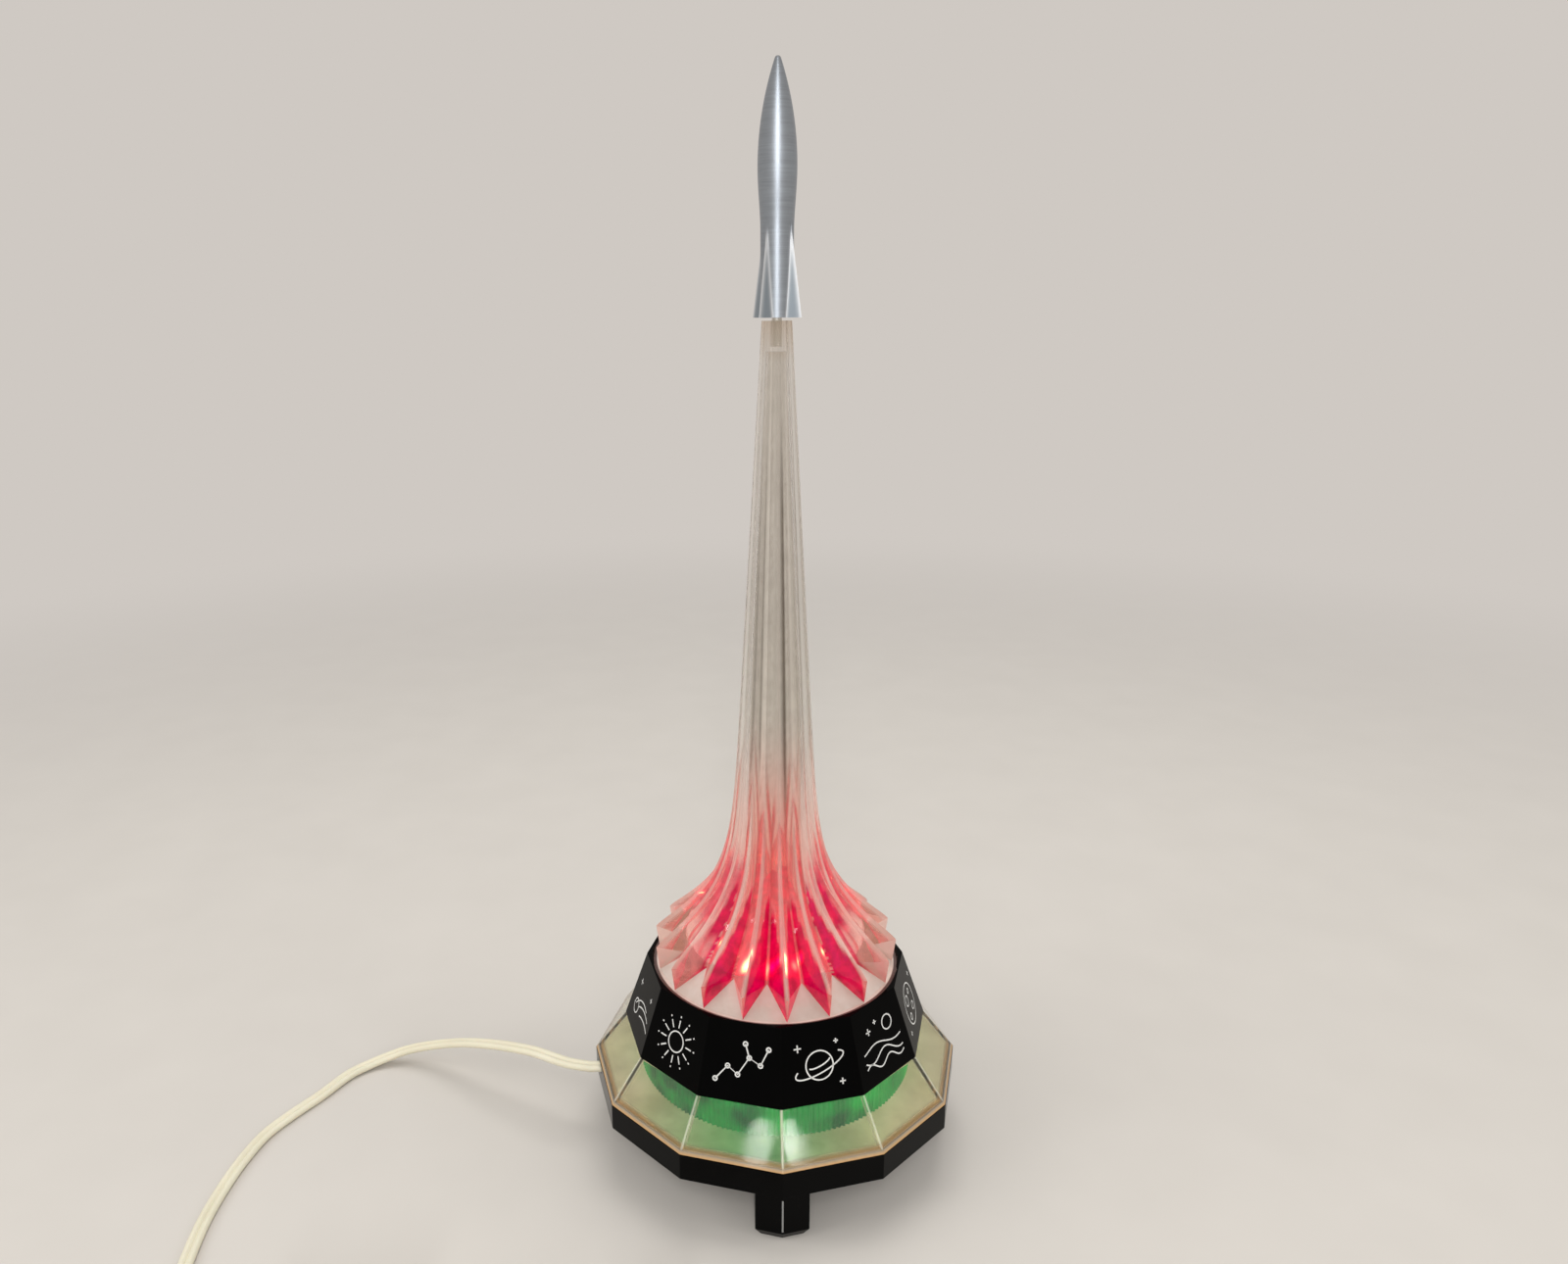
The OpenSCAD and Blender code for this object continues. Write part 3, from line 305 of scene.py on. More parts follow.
TURNS_IN, TURNS, STEP, RINGS = 3.5, 6.0, 3.7, 36
MID_R = 33.0
OUT_R = MID_R + STEP * TURNS_IN / 2
IN_R = OUT_R - STEP * TURNS_IN
LOW_Z, HIGH_Z, PLUG_Z = 4.3, 11.1, 9.0
COIL_X, PLUG_X = -104.0, -72.0
# Where the flex reaches the coil and leaves it, along x from the coil's middle.
IN_FROM, IN_TO, OUT_FROM, OUT_TO = -28, -6, 6, 24
turn = np.linspace(0, TURNS, int(TURNS * RINGS) + 1)
past = turn - TURNS_IN
radius = np.where(past <= 0, OUT_R - STEP * turn, IN_R + STEP * past + STEP * eased(past / 0.5))
loops = np.stack([
    COIL_X + radius * np.sin(2 * np.pi * turn),
    ROW_Y - OUT_R + radius * np.cos(2 * np.pi * turn),
    LOW_Z + (HIGH_Z - LOW_Z) * eased((past + 0.5) / 0.5),
], axis=-1)
share = np.arange(1, 5) / 4
sink = SWITCH_Z + (LOW_Z - SWITCH_Z) * eased(share)
into = np.stack([COIL_X + IN_FROM + (IN_TO - IN_FROM) * share, np.full(4, ROW_Y), sink], axis=-1)
share = np.arange(1, 4) / 3
sink = HIGH_Z + (PLUG_Z - HIGH_Z) * eased(share)
out = np.stack([COIL_X + OUT_FROM + (OUT_TO - OUT_FROM) * share, np.full(3, ROW_Y), sink], axis=-1)
straight_in = np.array([[x, ROW_Y, SWITCH_Z] for x in COIL_X + IN_FROM - np.array([12, 6, 0])])
straight_out = np.array([[x, ROW_Y, PLUG_Z] for x in (PLUG_X, PLUG_X + 6)])
coil_path = np.concatenate([straight_in, into, loops, out, straight_out]) * MM
print(f"coil {length_of(coil_path):.3f} m")

# %% [markdown]
# ## Moulded plastic
# Many pieces are moulded plastic. Each could have one flat colour, but then it looks like a drawing.
# Real mouldings drift in tone over centimetres, and the mould's grain and years of handling make their
# shine uneven. One recipe gives all of that, with two close tones for each plastic.

# %% Moulded plastic


def moulded(name, dark, light, rough, grain_mm=0.9, grain_depth_mm=0.012, **sockets):
    """Moulded plastic: two close tones that drift over centimetres, a fine grain and uneven gloss."""
    mat, tree, shader, place = new_finish(name, **sockets)
    drift = add(tree, "ShaderNodeTexNoise", {"Vector": place, "Scale": 1 / (20 * MM), "Detail": 3.0})
    drift = drift.outputs["Fac"]
    tone = add(tree, "ShaderNodeMix", {0: drift, MIX_A: dark, MIX_B: light}, data_type="RGBA")
    gloss = add(tree, "ShaderNodeMapRange", {
        "Value": drift, "From Min": 0.3, "From Max": 0.7, "To Min": rough * 0.8, "To Max": rough * 1.25})
    grain = add(tree, "ShaderNodeTexNoise", {"Vector": place, "Scale": 1 / (grain_mm * MM), "Detail": 2.0})
    bump = add(tree, "ShaderNodeBump", {
        "Height": grain.outputs["Fac"], "Strength": 0.5, "Distance": grain_depth_mm * MM})
    feed(shader, {"Base Color": tone.outputs[MIXED], "Roughness": gloss.outputs["Result"],
                  "Normal": bump.outputs["Normal"]})
    return mat


# %% [markdown]
# The flex's PVC has yellowed a little. It is soft and slightly matt, with fine marks of rubbing. Where a
# piece is made new, `dress` says which body it rides on, which finish it takes and which solids it
# stands for.

# %% Flex: pieces


def swept(path, section, level=(0, 0, 1)):
    """Points of a closed section (side, up) carried along a path, square to it and with side level."""
    path = np.asarray(path, float)
    t = np.gradient(path, axis=0)
    t /= np.linalg.norm(t, axis=1, keepdims=True)
    side = np.cross(t, level)
    side /= np.linalg.norm(side, axis=1, keepdims=True)
    up = np.cross(side, t)
    return path[:, None] + section[None, :, :1] * side[:, None] + section[None, :, 1:] * up[:, None]


def dress(obj, body, finish, slot, *nodes):
    """The object rides on a body, takes a finish and stands for these nodes. Its slot is not used."""
    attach(obj, body)
    if nodes:
        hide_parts(*nodes)
    obj.data.materials.append(finish)
    return obj


LOBE_HALF_DEG, LOBE_POINTS = 158, 13
half = np.radians(np.linspace(-LOBE_HALF_DEG, LOBE_HALF_DEG, LOBE_POINTS))
lobe = np.stack([CORE_R + CORE_R * np.cos(half), CORE_R * np.sin(half)], axis=-1)
twin = np.concatenate([lobe, -lobe]) * MM
standing = np.stack([-twin[:, 1], twin[:, 0]], axis=-1)
flex_pvc = moulded("soft_pvc_flex", "#d5ccb2", "#e3dbc4", 0.42, grain_mm=0.7, Subsurface_Weight=0.05)


def flex(name, path, section, node):
    """A closed tube of the twin section along a path, in place of the solid flex."""
    points = swept(path, section)
    rows, columns = points.shape[:2]
    ends = [list(range(columns)), list(range((rows - 1) * columns, rows * columns))]
    tube = solid(name, points, grid_faces(rows, columns) + ends, sharp_deg=60)
    return dress(tube, "lamp", flex_pvc, "flex_cream", node)


lead = flex("flex_lead", lead_path, twin, "cord_lead")
coil = flex("flex_coil", coil_path, standing, "cord_coil")
print("flex:", len(lead.data.polygons), "and", len(coil.data.polygons), "faces")

# %% [markdown]
# ## Moulded and machined pieces from the solids
# Flat-sided pieces are already right as solids and needn't be made again. Real mouldings have slightly
# soft edges that catch the light, so each is copied, its triangles are merged, and a narrow bevel runs
# along its edges.

# %% Edge-softened copies
SHARP, FLAT, WELD = math.radians(20), math.radians(0.6), 2e-6


def softened(node, finish, slot, edge_mm=0.35, body="lamp"):
    """Copy of a solid with merged triangles and a bevel of edge_mm along its sharp edges."""
    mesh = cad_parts[node].data.copy()
    mesh.name = node
    mesh.materials.clear()
    bm = bmesh.new()
    bm.from_mesh(mesh)
    bmesh.ops.remove_doubles(bm, verts=bm.verts, dist=WELD)
    bmesh.ops.dissolve_limit(bm, angle_limit=FLAT, verts=bm.verts, edges=bm.edges)
    bm.to_mesh(mesh)
    bm.free()
    mesh.shade_smooth()
    mesh.set_sharp_from_angle(angle=SHARP)
    obj = bpy.data.objects.new(node + "_soft", mesh)
    bpy.context.collection.objects.link(obj)
    bevel = obj.modifiers.new("edge", "BEVEL")
    bevel.width = edge_mm * MM
    bevel.segments = 2
    bevel.limit_method = "ANGLE"
    bevel.angle_limit = SHARP
    bevel.harden_normals = True
    return dress(obj, body, finish, slot, node)


# %% [markdown]
# Base, feet and collar are polystyrene from polished moulds: deep black, with clear reflections and
# hardly any grain. The collar was buffed after moulding, so its shine is a little sharper. The ridge of
# the front foot catches the light as a thin pale line. A lamp could make it, but would show elsewhere
# too, so it is drawn in the finish.

# %% Black pieces
black_base = moulded("gloss_black_polystyrene", "#020202", "#050505", 0.16, 4.0, 0.02,
                     Specular_IOR_Level=0.06)
black_collar = moulded("polished_black_polystyrene", "#020202", "#050505", 0.12, 6.0, 0.02,
                       Specular_IOR_Level=0.03)
GLINT_HALF_W, GLINT_LOW, GLINT_HIGH = 0.35, 5.0, 20.5
tree = black_base.node_tree
shader = tree.nodes["Principled BSDF"]
place = add(tree, "ShaderNodeTexCoord", {}).outputs["Object"]
axes = add(tree, "ShaderNodeSeparateXYZ", {"Vector": place}).outputs
aside = add(tree, "ShaderNodeMath", {0: axes["X"]}, operation="ABSOLUTE").outputs[0]
line = add(tree, "ShaderNodeMath", {0: aside, 1: GLINT_HALF_W * MM}, operation="LESS_THAN").outputs[0]
under = add(tree, "ShaderNodeMath", {0: axes["Z"], 1: GLINT_HIGH * MM}, operation="LESS_THAN").outputs[0]
over = add(tree, "ShaderNodeMath", {0: axes["Z"], 1: GLINT_LOW * MM}, operation="GREATER_THAN").outputs[0]
line = add(tree, "ShaderNodeMath", {0: line, 1: under}, operation="MULTIPLY").outputs[0]
line = add(tree, "ShaderNodeMath", {0: line, 1: over}, operation="MULTIPLY").outputs[0]
black = shader.inputs["Base Color"].links[0].from_socket
glint = add(tree, "ShaderNodeMix", {0: line, MIX_A: black, MIX_B: "#858583"}, data_type="RGBA")
feed(shader, {"Base Color": glint.outputs[MIXED]})
black_pieces = [
    softened(node, black_base, "base_black", 0.45)
    for node in ("base_tray", "foot_front", "foot_right", "foot_left")
]
black_pieces.append(softened("collar", black_collar, "collar_black", 0.3))
print("black pieces:", len(black_pieces))

# %% [markdown]
# ## Bare metal
# Screws, pins and shells are bare metal. A smooth mirror would look like chrome. The tool that cut them
# left lines, so noise squeezed across the lines varies tone, gloss and height. Real tool lines are
# finer than the picture can show, so they are drawn coarser.

# %% Bare metal


def machined(name, dark, light, rough, line_mm=0.4, across=(1.0, 1.0, 30.0)):
    """Bare metal with tool lines: noise squeezed across the lines varies tone, gloss and height."""
    mat, tree, shader, place = new_finish(name, Metallic=1.0)
    squeezed = add(tree, "ShaderNodeMapping", {"Vector": place, "Scale": across}).outputs["Vector"]
    lines = add(tree, "ShaderNodeTexNoise", {
        "Vector": squeezed, "Scale": 1 / (line_mm * MM * max(across)), "Detail": 4.0}).outputs["Fac"]
    tone = add(tree, "ShaderNodeMix", {0: lines, MIX_A: dark, MIX_B: light}, data_type="RGBA")
    gloss = add(tree, "ShaderNodeMapRange", {
        "Value": lines, "To Min": rough * 0.75, "To Max": rough * 1.25})
    bump = add(tree, "ShaderNodeBump", {"Height": lines, "Strength": 0.35, "Distance": 0.02 * MM})
    feed(shader, {"Base Color": tone.outputs[MIXED], "Roughness": gloss.outputs["Result"],
                  "Normal": bump.outputs["Normal"]})
    return mat


# %% [markdown]
# Switch and plug are cream ABS with the grain of a spark-eroded mould, a little matt, so their edges
# read softly. The rocker is the same plastic in near-black, and the tie is a soft, matt strap of PVC.
# Screws are zinc-plated steel, which is grey and cloudy, and the pins are brass, warm yellow with fine
# rings.

# %% Switch, plug and tie
cream_abs = moulded("cream_moulded_abs", "#dcd4bf", "#ece5d3", 0.35)
dark_rocker = moulded("dark_moulded_abs", "#1a1a1b", "#242425", 0.4)
strap_pvc = moulded("black_strap_pvc", "#151516", "#1f1f20", 0.5)
zinc = machined("zinc_plated_steel", "#8f9092", "#b8b9ba", 0.34, line_mm=0.6, across=(1.0, 1.0, 1.0))
brass = machined("turned_brass", "#b18a3c", "#d8b465", 0.28)
switch_pieces = [
    softened("switch_base", cream_abs, "switch_cream", 0.8),
    softened("switch_cover", cream_abs, "switch_cream", 0.8),
    softened("switch_rocker", dark_rocker, "rocker_dark", body="rocker"),
    softened("switch_screws", zinc, "screw_steel", 0.15),
]
plug_pieces = [
    softened("plug_lower", cream_abs, "plug_cream", 0.9),
    softened("plug_upper", cream_abs, "plug_cream", 0.9),
    softened("plug_pins", brass, "contact_brass", 0.1),
    softened("plug_screw", zinc, "screw_steel", 0.15),
]
tie = softened("coil_tie", strap_pvc, "tie_dark", 0.2)
softened("tie_screws", zinc, "screw_steel", 0.15)
softened("foot_screws", zinc, "screw_steel", 0.15)
print("switch and plug:", len(switch_pieces), "and", len(plug_pieces), "pieces")

# %% [markdown]
# The two stretches of flex, by name.

# %% Flex: what it is
print("cords:", lead.name, coil.name)

# %% [markdown]
# ## Plume
# The plume is one clear moulding of eighteen pleats. It could be a star drawn out along a path, but its
# depth changes with height, so it is a grid: each pleat's ridge and the valleys beside it follow a
# straight taper plus a flare that dies away upwards.

# %% Plume: pleats
PLEATS, PLUME_TURN = 18, math.radians(3.2)
Z_FLANGE, Z_FLANGE_TOP, Z_END, Z_TOP = 80.5, 83.5, 94.5, 368.0
FLANGE_R, TIP_R, END_R, FOOT_R, TOP_R = 56.1, 54.0, 55.5, 21.9, 6.1
FLARE_H, VALLEY_FADE, VALLEY_DEPTH, FLUTE, WALL, CAP = 22.7, 25.0, 9.1, 0.07, 2.6, 12.0
ROWS, LOW_ROWS = 130, 1.7
HALF_PITCH = math.pi / PLEATS


def ridge_at(z):
    """Straight taper plus a flare that dies away as exp of minus a power of the height."""
    up = z - Z_END
    taper = FOOT_R + (TOP_R - FOOT_R) * up / (Z_TOP - Z_END)
    return taper + (END_R - FOOT_R) * np.exp(-((up / FLARE_H) ** 1.25))


def valley_at(z):
    """The ridge less a share for the flutes and a depth that fades upwards."""
    return ridge_at(z) * (1 - FLUTE) - VALLEY_DEPTH * np.exp(-(z - Z_END) / VALLEY_FADE)


ridge_round = 0.03
side_steps = np.array([0, 0.02, 0.05, 0.1, 0.2, 0.35, 0.5, 0.65, 0.8, 0.9])
across = np.concatenate([[-1], -side_steps[:0:-1], side_steps])
height = 1 - (np.hypot(across, ridge_round) - ridge_round) / (math.hypot(1, ridge_round) - ridge_round)
z = Z_END + (Z_TOP - Z_END) * np.linspace(0, 1, ROWS) ** LOW_ROWS
ridge, valley = ridge_at(z)[:, None], valley_at(z)[:, None]
px = valley * math.cos(HALF_PITCH) + (ridge - valley * math.cos(HALF_PITCH)) * height
py = np.sign(across) * valley * math.sin(HALF_PITCH) * (1 - height)
pleat_angle = -np.pi / 2 + PLUME_TURN + 2 * HALF_PITCH * np.arange(PLEATS)
ca, sa = np.cos(pleat_angle)[None, :, None], np.sin(pleat_angle)[None, :, None]
px, py = px[:, None], py[:, None]
level = np.broadcast_to(z[:, None, None], (ROWS, PLEATS, len(across)))
horn = np.stack([px * ca - py * sa, px * sa + py * ca, level], axis=-1)
columns = PLEATS * len(across)
horn = horn.reshape(ROWS, columns, 3)
print("pleats:", PLEATS, "with", columns, "columns")

# %% [markdown]
# Near the foot a pleat ends in a steep edge with a point on the flange, and a pale triangle, a web,
# slopes from the end of each valley to the flange. Inside is a smooth bore with a closed top. All these
# faces are listed between the rings of points, so that the plume is one closed skin.

# %% Plume: ends, flange and bore


def ring_of(r, height_mm, count):
    """One ring of points at a height, starting at the first pleat's ridge."""
    a = -np.pi / 2 + PLUME_TURN + 2 * np.pi * np.arange(count) / count
    return np.stack([r * np.cos(a), r * np.sin(a), np.full(count, height_mm)], axis=-1)


def fan(*corners):
    """Faces from the numbers of their corners, each given as one array."""
    return np.stack(np.broadcast_arrays(*corners), axis=-1).tolist()


rim = 2 * PLEATS
bore_z = np.concatenate([[Z_END], z[(z > Z_END) & (z < Z_TOP - CAP - 1)], [Z_TOP - CAP]])
bore_r = valley_at(bore_z) - WALL
bore = np.concatenate([
    ring_of(bore_r[0], Z_FLANGE, rim), *[ring_of(r, h, rim) for r, h in zip(bore_r, bore_z)],
])
tips = ring_of(TIP_R, Z_FLANGE_TOP, PLEATS)
edge, under = ring_of(FLANGE_R, Z_FLANGE_TOP, rim), ring_of(FLANGE_R, Z_FLANGE, rim)
middles = np.array([[0, 0, Z_TOP], [0, 0, Z_TOP - CAP]])
parts = [horn.reshape(-1, 3), tips, edge, under, bore, middles]
tip0, edge0, under0, bore0, top0 = np.cumsum([len(p) for p in parts])[:5]
end0 = top0 + 1
k, col, c = np.arange(PLEATS), np.arange(columns), np.arange(rim)
k_next, col_next, c_next = (k + 1) % PLEATS, (col + 1) % columns, (c + 1) % rim
last_row = (ROWS - 1) * columns
bore_top = bore0 + len(bore_z) * rim
faces = grid_faces(ROWS, columns)
faces += fan(tip0 + col // len(across), col_next, col)
faces += fan(tip0 + k, tip0 + k_next, k_next * len(across))
faces += fan(tip0 + k, edge0 + 2 * k, edge0 + 2 * k + 1)
faces += fan(tip0 + k, edge0 + 2 * k + 1, tip0 + k_next)
faces += fan(tip0 + k_next, edge0 + 2 * k + 1, edge0 + (2 * k + 2) % rim)
faces += grid_faces(2, rim, edge0)
faces += fan(under0 + c, under0 + c_next, bore0 + c_next, bore0 + c)
faces += grid_faces(len(bore_z) + 1, rim, bore0)
faces += fan(last_row + col, last_row + col_next, top0)
faces += fan(bore_top + c_next, bore_top + c, end0)
plume = solid("clear_plume", np.concatenate(parts) * MM, faces, sharp_deg=22)
print("plume:", len(plume.data.polygons), "faces")

# %% [markdown]
# The plume's acrylic could take its pattern from light alone, but its strips come from a filter seen
# through eighteen curved lenses, which a render shows as noise. So numbers on its points carry them.
# They are worked out from a point's angle and height. Two are for lines: `flank_tone_and_shade` is how dark
# a flute of the column is, a tone that drifts from flank to flank with painted shade in a few valleys, and
# `painted_fold_shade` is painted shade in the valleys of the flare.

# %% Plume: numbers for the lines


def points_of(obj):
    """A mesh's points in mm, as one array."""
    xyz = np.empty(len(obj.data.vertices) * 3)
    obj.data.vertices.foreach_get("co", xyz)
    return xyz.reshape(-1, 3) / MM


def mark(obj, name, values):
    """Keeps one number for each point of a mesh, which a finish can read by name."""
    layer = obj.data.attributes.new(name, "FLOAT", "POINT")
    layer.data.foreach_set("value", np.asarray(values, np.float32))


def fades(value, full, gone):
    """1 where a value is full or beyond it, 0 where it is gone, and a smooth step between."""
    return eased((gone - value) / (gone - full))


xyz = points_of(plume)
up = xyz[:, 2]
turns = (np.arctan2(xyz[:, 1], xyz[:, 0]) - pleat_angle[0]) / (2 * HALF_PITCH)
# A pleat's ridge is at offset 0, and its valleys are at -1 and 1.
offset = 2 * ((turns + 0.5) % 1 - 0.5)
groove = np.abs(offset)
flank = np.floor(2 * turns)
valley_number = np.round(turns + 0.5)
# Sines of a flank's or valley's number stand in for chance, so that neighbours differ.
wander = 0.5 + 0.3 * np.sin(2.4 * flank) + 0.2 * np.sin(5.1 * flank + 1)
few_valleys = eased(3 * np.sin(1.9 * valley_number) - 1.6)
on_column = fades(up, full=180, gone=140) * fades(up, full=285, gone=345)
# Painted shade darkens a few of the column's valleys.
dark_line = fades(groove, full=0.92, gone=0.7) * few_valleys * on_column
mark(plume, "flank_tone_and_shade", np.clip(0.3 * wander + 0.85 * dark_line, 0, 1))
# Painted shade darkens the flare's valleys, more in some than in others.
uneven = 0.65 + 0.35 * np.sin(4.3 * valley_number)
on_flare = fades(up, full=140, gone=165) * fades(up, full=112, gone=100)
mark(plume, "painted_fold_shade", 0.6 * fades(groove, full=0.97, gone=0.85) * uneven * on_flare)
print("plume: points with dark lines", int((dark_line > 0.1).sum()))

# %% [markdown]
# Two more numbers say where the red filter shows and where the acrylic looks pale, both painted light.
# `painted_red_light` is the filter's red seen through the pleats: on the pleats' sides in front, where the
# filter lies straight behind, and at the flanks only in the valleys. `painted_pale_light` is pale: a
# painted highlight on the ridges, less so up the column, and paler pleat ends at the flanks.

# %% Plume: numbers for painted red and pale light
sideways = np.sin(PLUME_TURN + 2 * HALF_PITCH * np.round(turns))
to_side = np.abs(sideways)
behind = fades(to_side, full=0.72, gone=0.97)
begins = 0.04 + 0.6 * fades(up, full=132, gone=98)
strip = fades(groove, full=begins + 0.08, gone=begins) * (1 - 0.6 * fades(groove, full=1.0, gone=0.88))
turned_away = np.where(offset * sideways > 0, np.clip(1.1 - 2.4 * to_side, 0.1, 1), 1)
strip_top = 128 + 5 * np.sin(2.7 * flank)
front_strip = strip * turned_away * behind * fades(up, full=strip_top - 9, gone=strip_top)
flank_valley = fades(groove, full=0.9, gone=0.7) * fades(to_side, full=0.75, gone=0.5)
flank_valley = 0.8 * flank_valley * fades(up, full=116, gone=146)
edge_glow = fades(groove, full=0.5, gone=0.2) * fades(to_side, full=0.86, gone=0.66)
edge_glow = 0.85 * edge_glow * fades(up, full=130, gone=144) * fades(up, full=112, gone=102)
# The filter's red seen through the pleats, painted on.
red_share = front_strip + np.maximum(flank_valley, edge_glow)
on_end = up < Z_END - 0.1
outside = np.hypot(xyz[:, 0], xyz[:, 1]) > valley_at(np.clip(up, Z_END, None)) - 1
mark(plume, "painted_red_light", np.clip(np.where(on_end, 0.95 * behind, red_share), 0, 1) * outside)
# Painted highlight along the ridges, and painted pale light on the pleats' ends at the flanks.
pale_end = (up < Z_END + 0.05) * (1 - behind)
ridge_highlight = fades(groove, full=0.15, gone=0.3) * (0.3 + 0.7 * fades(up, full=125, gone=170))
ridge_highlight = 0.7 * ridge_highlight * (up > Z_END)
mark(plume, "painted_pale_light", np.maximum(pale_end, ridge_highlight) * outside)
print("plume: points with stain", int((red_share > 0.1).sum()))

# %% [markdown]
# The acrylic is clear with a warm cast, a little amber at its top. Light enters at the foot and is lost
# on the way up, so a painted blush fades upwards. The blush could be one colour ramp, but lines, painted
# pale light and painted red lie over it, so each is one more mix, in that order.

# %% Plume: colour
BLUSH_LOW, BLUSH_HIGH, CAST_LOW, CAST_HIGH = 105 * MM, 205 * MM, 352 * MM, 367 * MM
acrylic, tree, shader, place = new_finish("clear_cast_acrylic")
flank_tone_and_shade, painted_red_light, painted_pale_light, painted_fold_shade = (
    add(tree, "ShaderNodeAttribute", {}, attribute_name=name).outputs["Fac"]
    for name in ("flank_tone_and_shade", "painted_red_light", "painted_pale_light", "painted_fold_shade")
)
level = add(tree, "ShaderNodeSeparateXYZ", {"Vector": place}).outputs["Z"]
warmth = add(tree, "ShaderNodeMapRange", {
    "Value": level, "From Min": BLUSH_LOW, "From Max": BLUSH_HIGH, "To Min": 1.0, "To Max": 0.0,
}, interpolation_type="SMOOTHSTEP").outputs["Result"]
amber = add(tree, "ShaderNodeMapRange", {
    "Value": level, "From Min": CAST_LOW, "From Max": CAST_HIGH, "To Max": 0.3}).outputs["Result"]
blush = add(tree, "ShaderNodeMath", {0: warmth, 1: 0.75}, operation="MULTIPLY").outputs[0]
body = add(tree, "ShaderNodeMix", {0: flank_tone_and_shade, MIX_A: "#fdfaf5", MIX_B: "#837a70"}, data_type="RGBA")
tints = (
    (blush, "#f6bcae"), (painted_fold_shade, "#8a3a3a"), (painted_pale_light, "#f2e2d6"), (painted_red_light, "#b80040"), (amber, "#c79a5c"),
)
for share, tint in tints:
    body = add(tree, "ShaderNodeMix", {0: share, MIX_A: body.outputs[MIXED], MIX_B: tint},
               data_type="RGBA")
feed(shader, {"Base Color": body.outputs[MIXED]})
print("plume: tints", len(tints))

# %% [markdown]
# The red places glow in patches, as the bulb lights them unevenly. The column was drawn out while hot,
# which left it a little hazy. Its bending of light could be acrylic's all the way up, but then its
# lines break up into noise, so it is lowered there. The front lamp leaves the plume out, because its
# mirror image would turn whole pleats white.

# %% Plume: glow and shine
HAZE_LOW, HAZE_HIGH = 125 * MM, 190 * MM
glow = add(tree, "ShaderNodeMix", {0: painted_red_light, MIX_A: "#ffa49a", MIX_B: "#f00048"}, data_type="RGBA")
faint = add(tree, "ShaderNodeMath", {0: warmth, 1: 0.09}, operation="MULTIPLY").outputs[0]
patch = add(tree, "ShaderNodeTexNoise", {"Vector": place, "Scale": 1 / (5 * MM), "Detail": 3.0})
vivid = add(tree, "ShaderNodeMapRange", {
    "Value": patch.outputs["Fac"], "From Min": 0.35, "From Max": 0.65, "To Min": 0.06, "To Max": 0.38})
lit = add(tree, "ShaderNodeMath", {0: painted_red_light, 1: vivid.outputs["Result"], 2: faint},
          operation="MULTIPLY_ADD")
veil = add(tree, "ShaderNodeMath", {0: painted_red_light, 1: painted_pale_light}, operation="MAXIMUM").outputs[0]
clear = add(tree, "ShaderNodeMapRange", {"Value": veil, "To Min": 0.95, "To Max": 0.45})
haze_and_glow = add(tree, "ShaderNodeMapRange", {
    "Value": level, "From Min": HAZE_LOW, "From Max": HAZE_HIGH, "To Min": 0.03, "To Max": 0.22})
bend = add(tree, "ShaderNodeMapRange", {
    "Value": level, "From Min": HAZE_LOW, "From Max": HAZE_HIGH, "To Min": 1.49, "To Max": 1.12})
feed(shader, {"Emission Color": glow.outputs[MIXED], "Emission Strength": lit.outputs[0],
              "Transmission Weight": clear.outputs["Result"], "Roughness": haze_and_glow.outputs["Result"],
              "IOR": bend.outputs["Result"]})
dress(plume, "lamp", acrylic, "plume_clear", "plume")
unlit = bpy.data.collections.new("not_lit_from_the_front")
unlit.objects.link(plume)
unlit.collection_objects[0].light_linking.link_state = "EXCLUDE"
front_lamp.light_linking.receiver_collection = unlit
print("plume: finish", acrylic.name)

# %% [markdown]
# The slanting webs and the flange are the same acrylic with a frosted, rippled surface that holds the
# light, painted on as a faint glow. Where the flange meets the collar's opening, a dark red line of
# painted shade shows.

# %% Plume: frosted webs
LINE_FROM, LINE_TO = 1.7, 1.2
frosted, tree, shader, place = new_finish("frosted_cast_acrylic", Roughness=0.25, IOR=1.49,
                                          Transmission_Weight=0.35, Emission_Strength=0.05,
                                          Emission_Color="#ffd9c8")
ripple = add(tree, "ShaderNodeTexNoise", {"Vector": place, "Scale": 1 / (4 * MM), "Detail": 3.0})
ripple = ripple.outputs["Fac"]
cream = add(tree, "ShaderNodeMix", {0: ripple, MIX_A: "#f0e0d2", MIX_B: "#fffaf2"}, data_type="RGBA")
level_place = add(tree, "ShaderNodeVectorMath", {0: place, 1: (1.0, 1.0, 0.0)}, operation="MULTIPLY")
out = add(tree, "ShaderNodeVectorMath", {0: level_place.outputs["Vector"]}, operation="LENGTH")
line = add(tree, "ShaderNodeMapRange", {
    "Value": out.outputs["Value"], "From Min": (FLANGE_R - LINE_FROM) * MM,
    "From Max": (FLANGE_R - LINE_TO) * MM})
painted_rim_shade = add(tree, "ShaderNodeMix", {
    0: line.outputs["Result"], MIX_A: cream.outputs[MIXED], MIX_B: "#3c0a10"}, data_type="RGBA")
bump = add(tree, "ShaderNodeBump", {"Height": ripple, "Strength": 0.6, "Distance": 0.3 * MM})
feed(shader, {"Base Color": painted_rim_shade.outputs[MIXED], "Normal": bump.outputs["Normal"]})
plume.data.materials.append(frosted)
corners = np.empty(len(plume.data.loops), int)
plume.data.loops.foreach_get("vertex_index", corners)
first = np.empty(len(plume.data.polygons), int)
plume.data.polygons.foreach_get("loop_start", first)
low_corners = np.add.reduceat((xyz[corners, 2] < Z_FLANGE_TOP + 0.1).astype(int), first)
plume.data.polygons.foreach_set("material_index", (low_corners > 1).astype(np.int32))
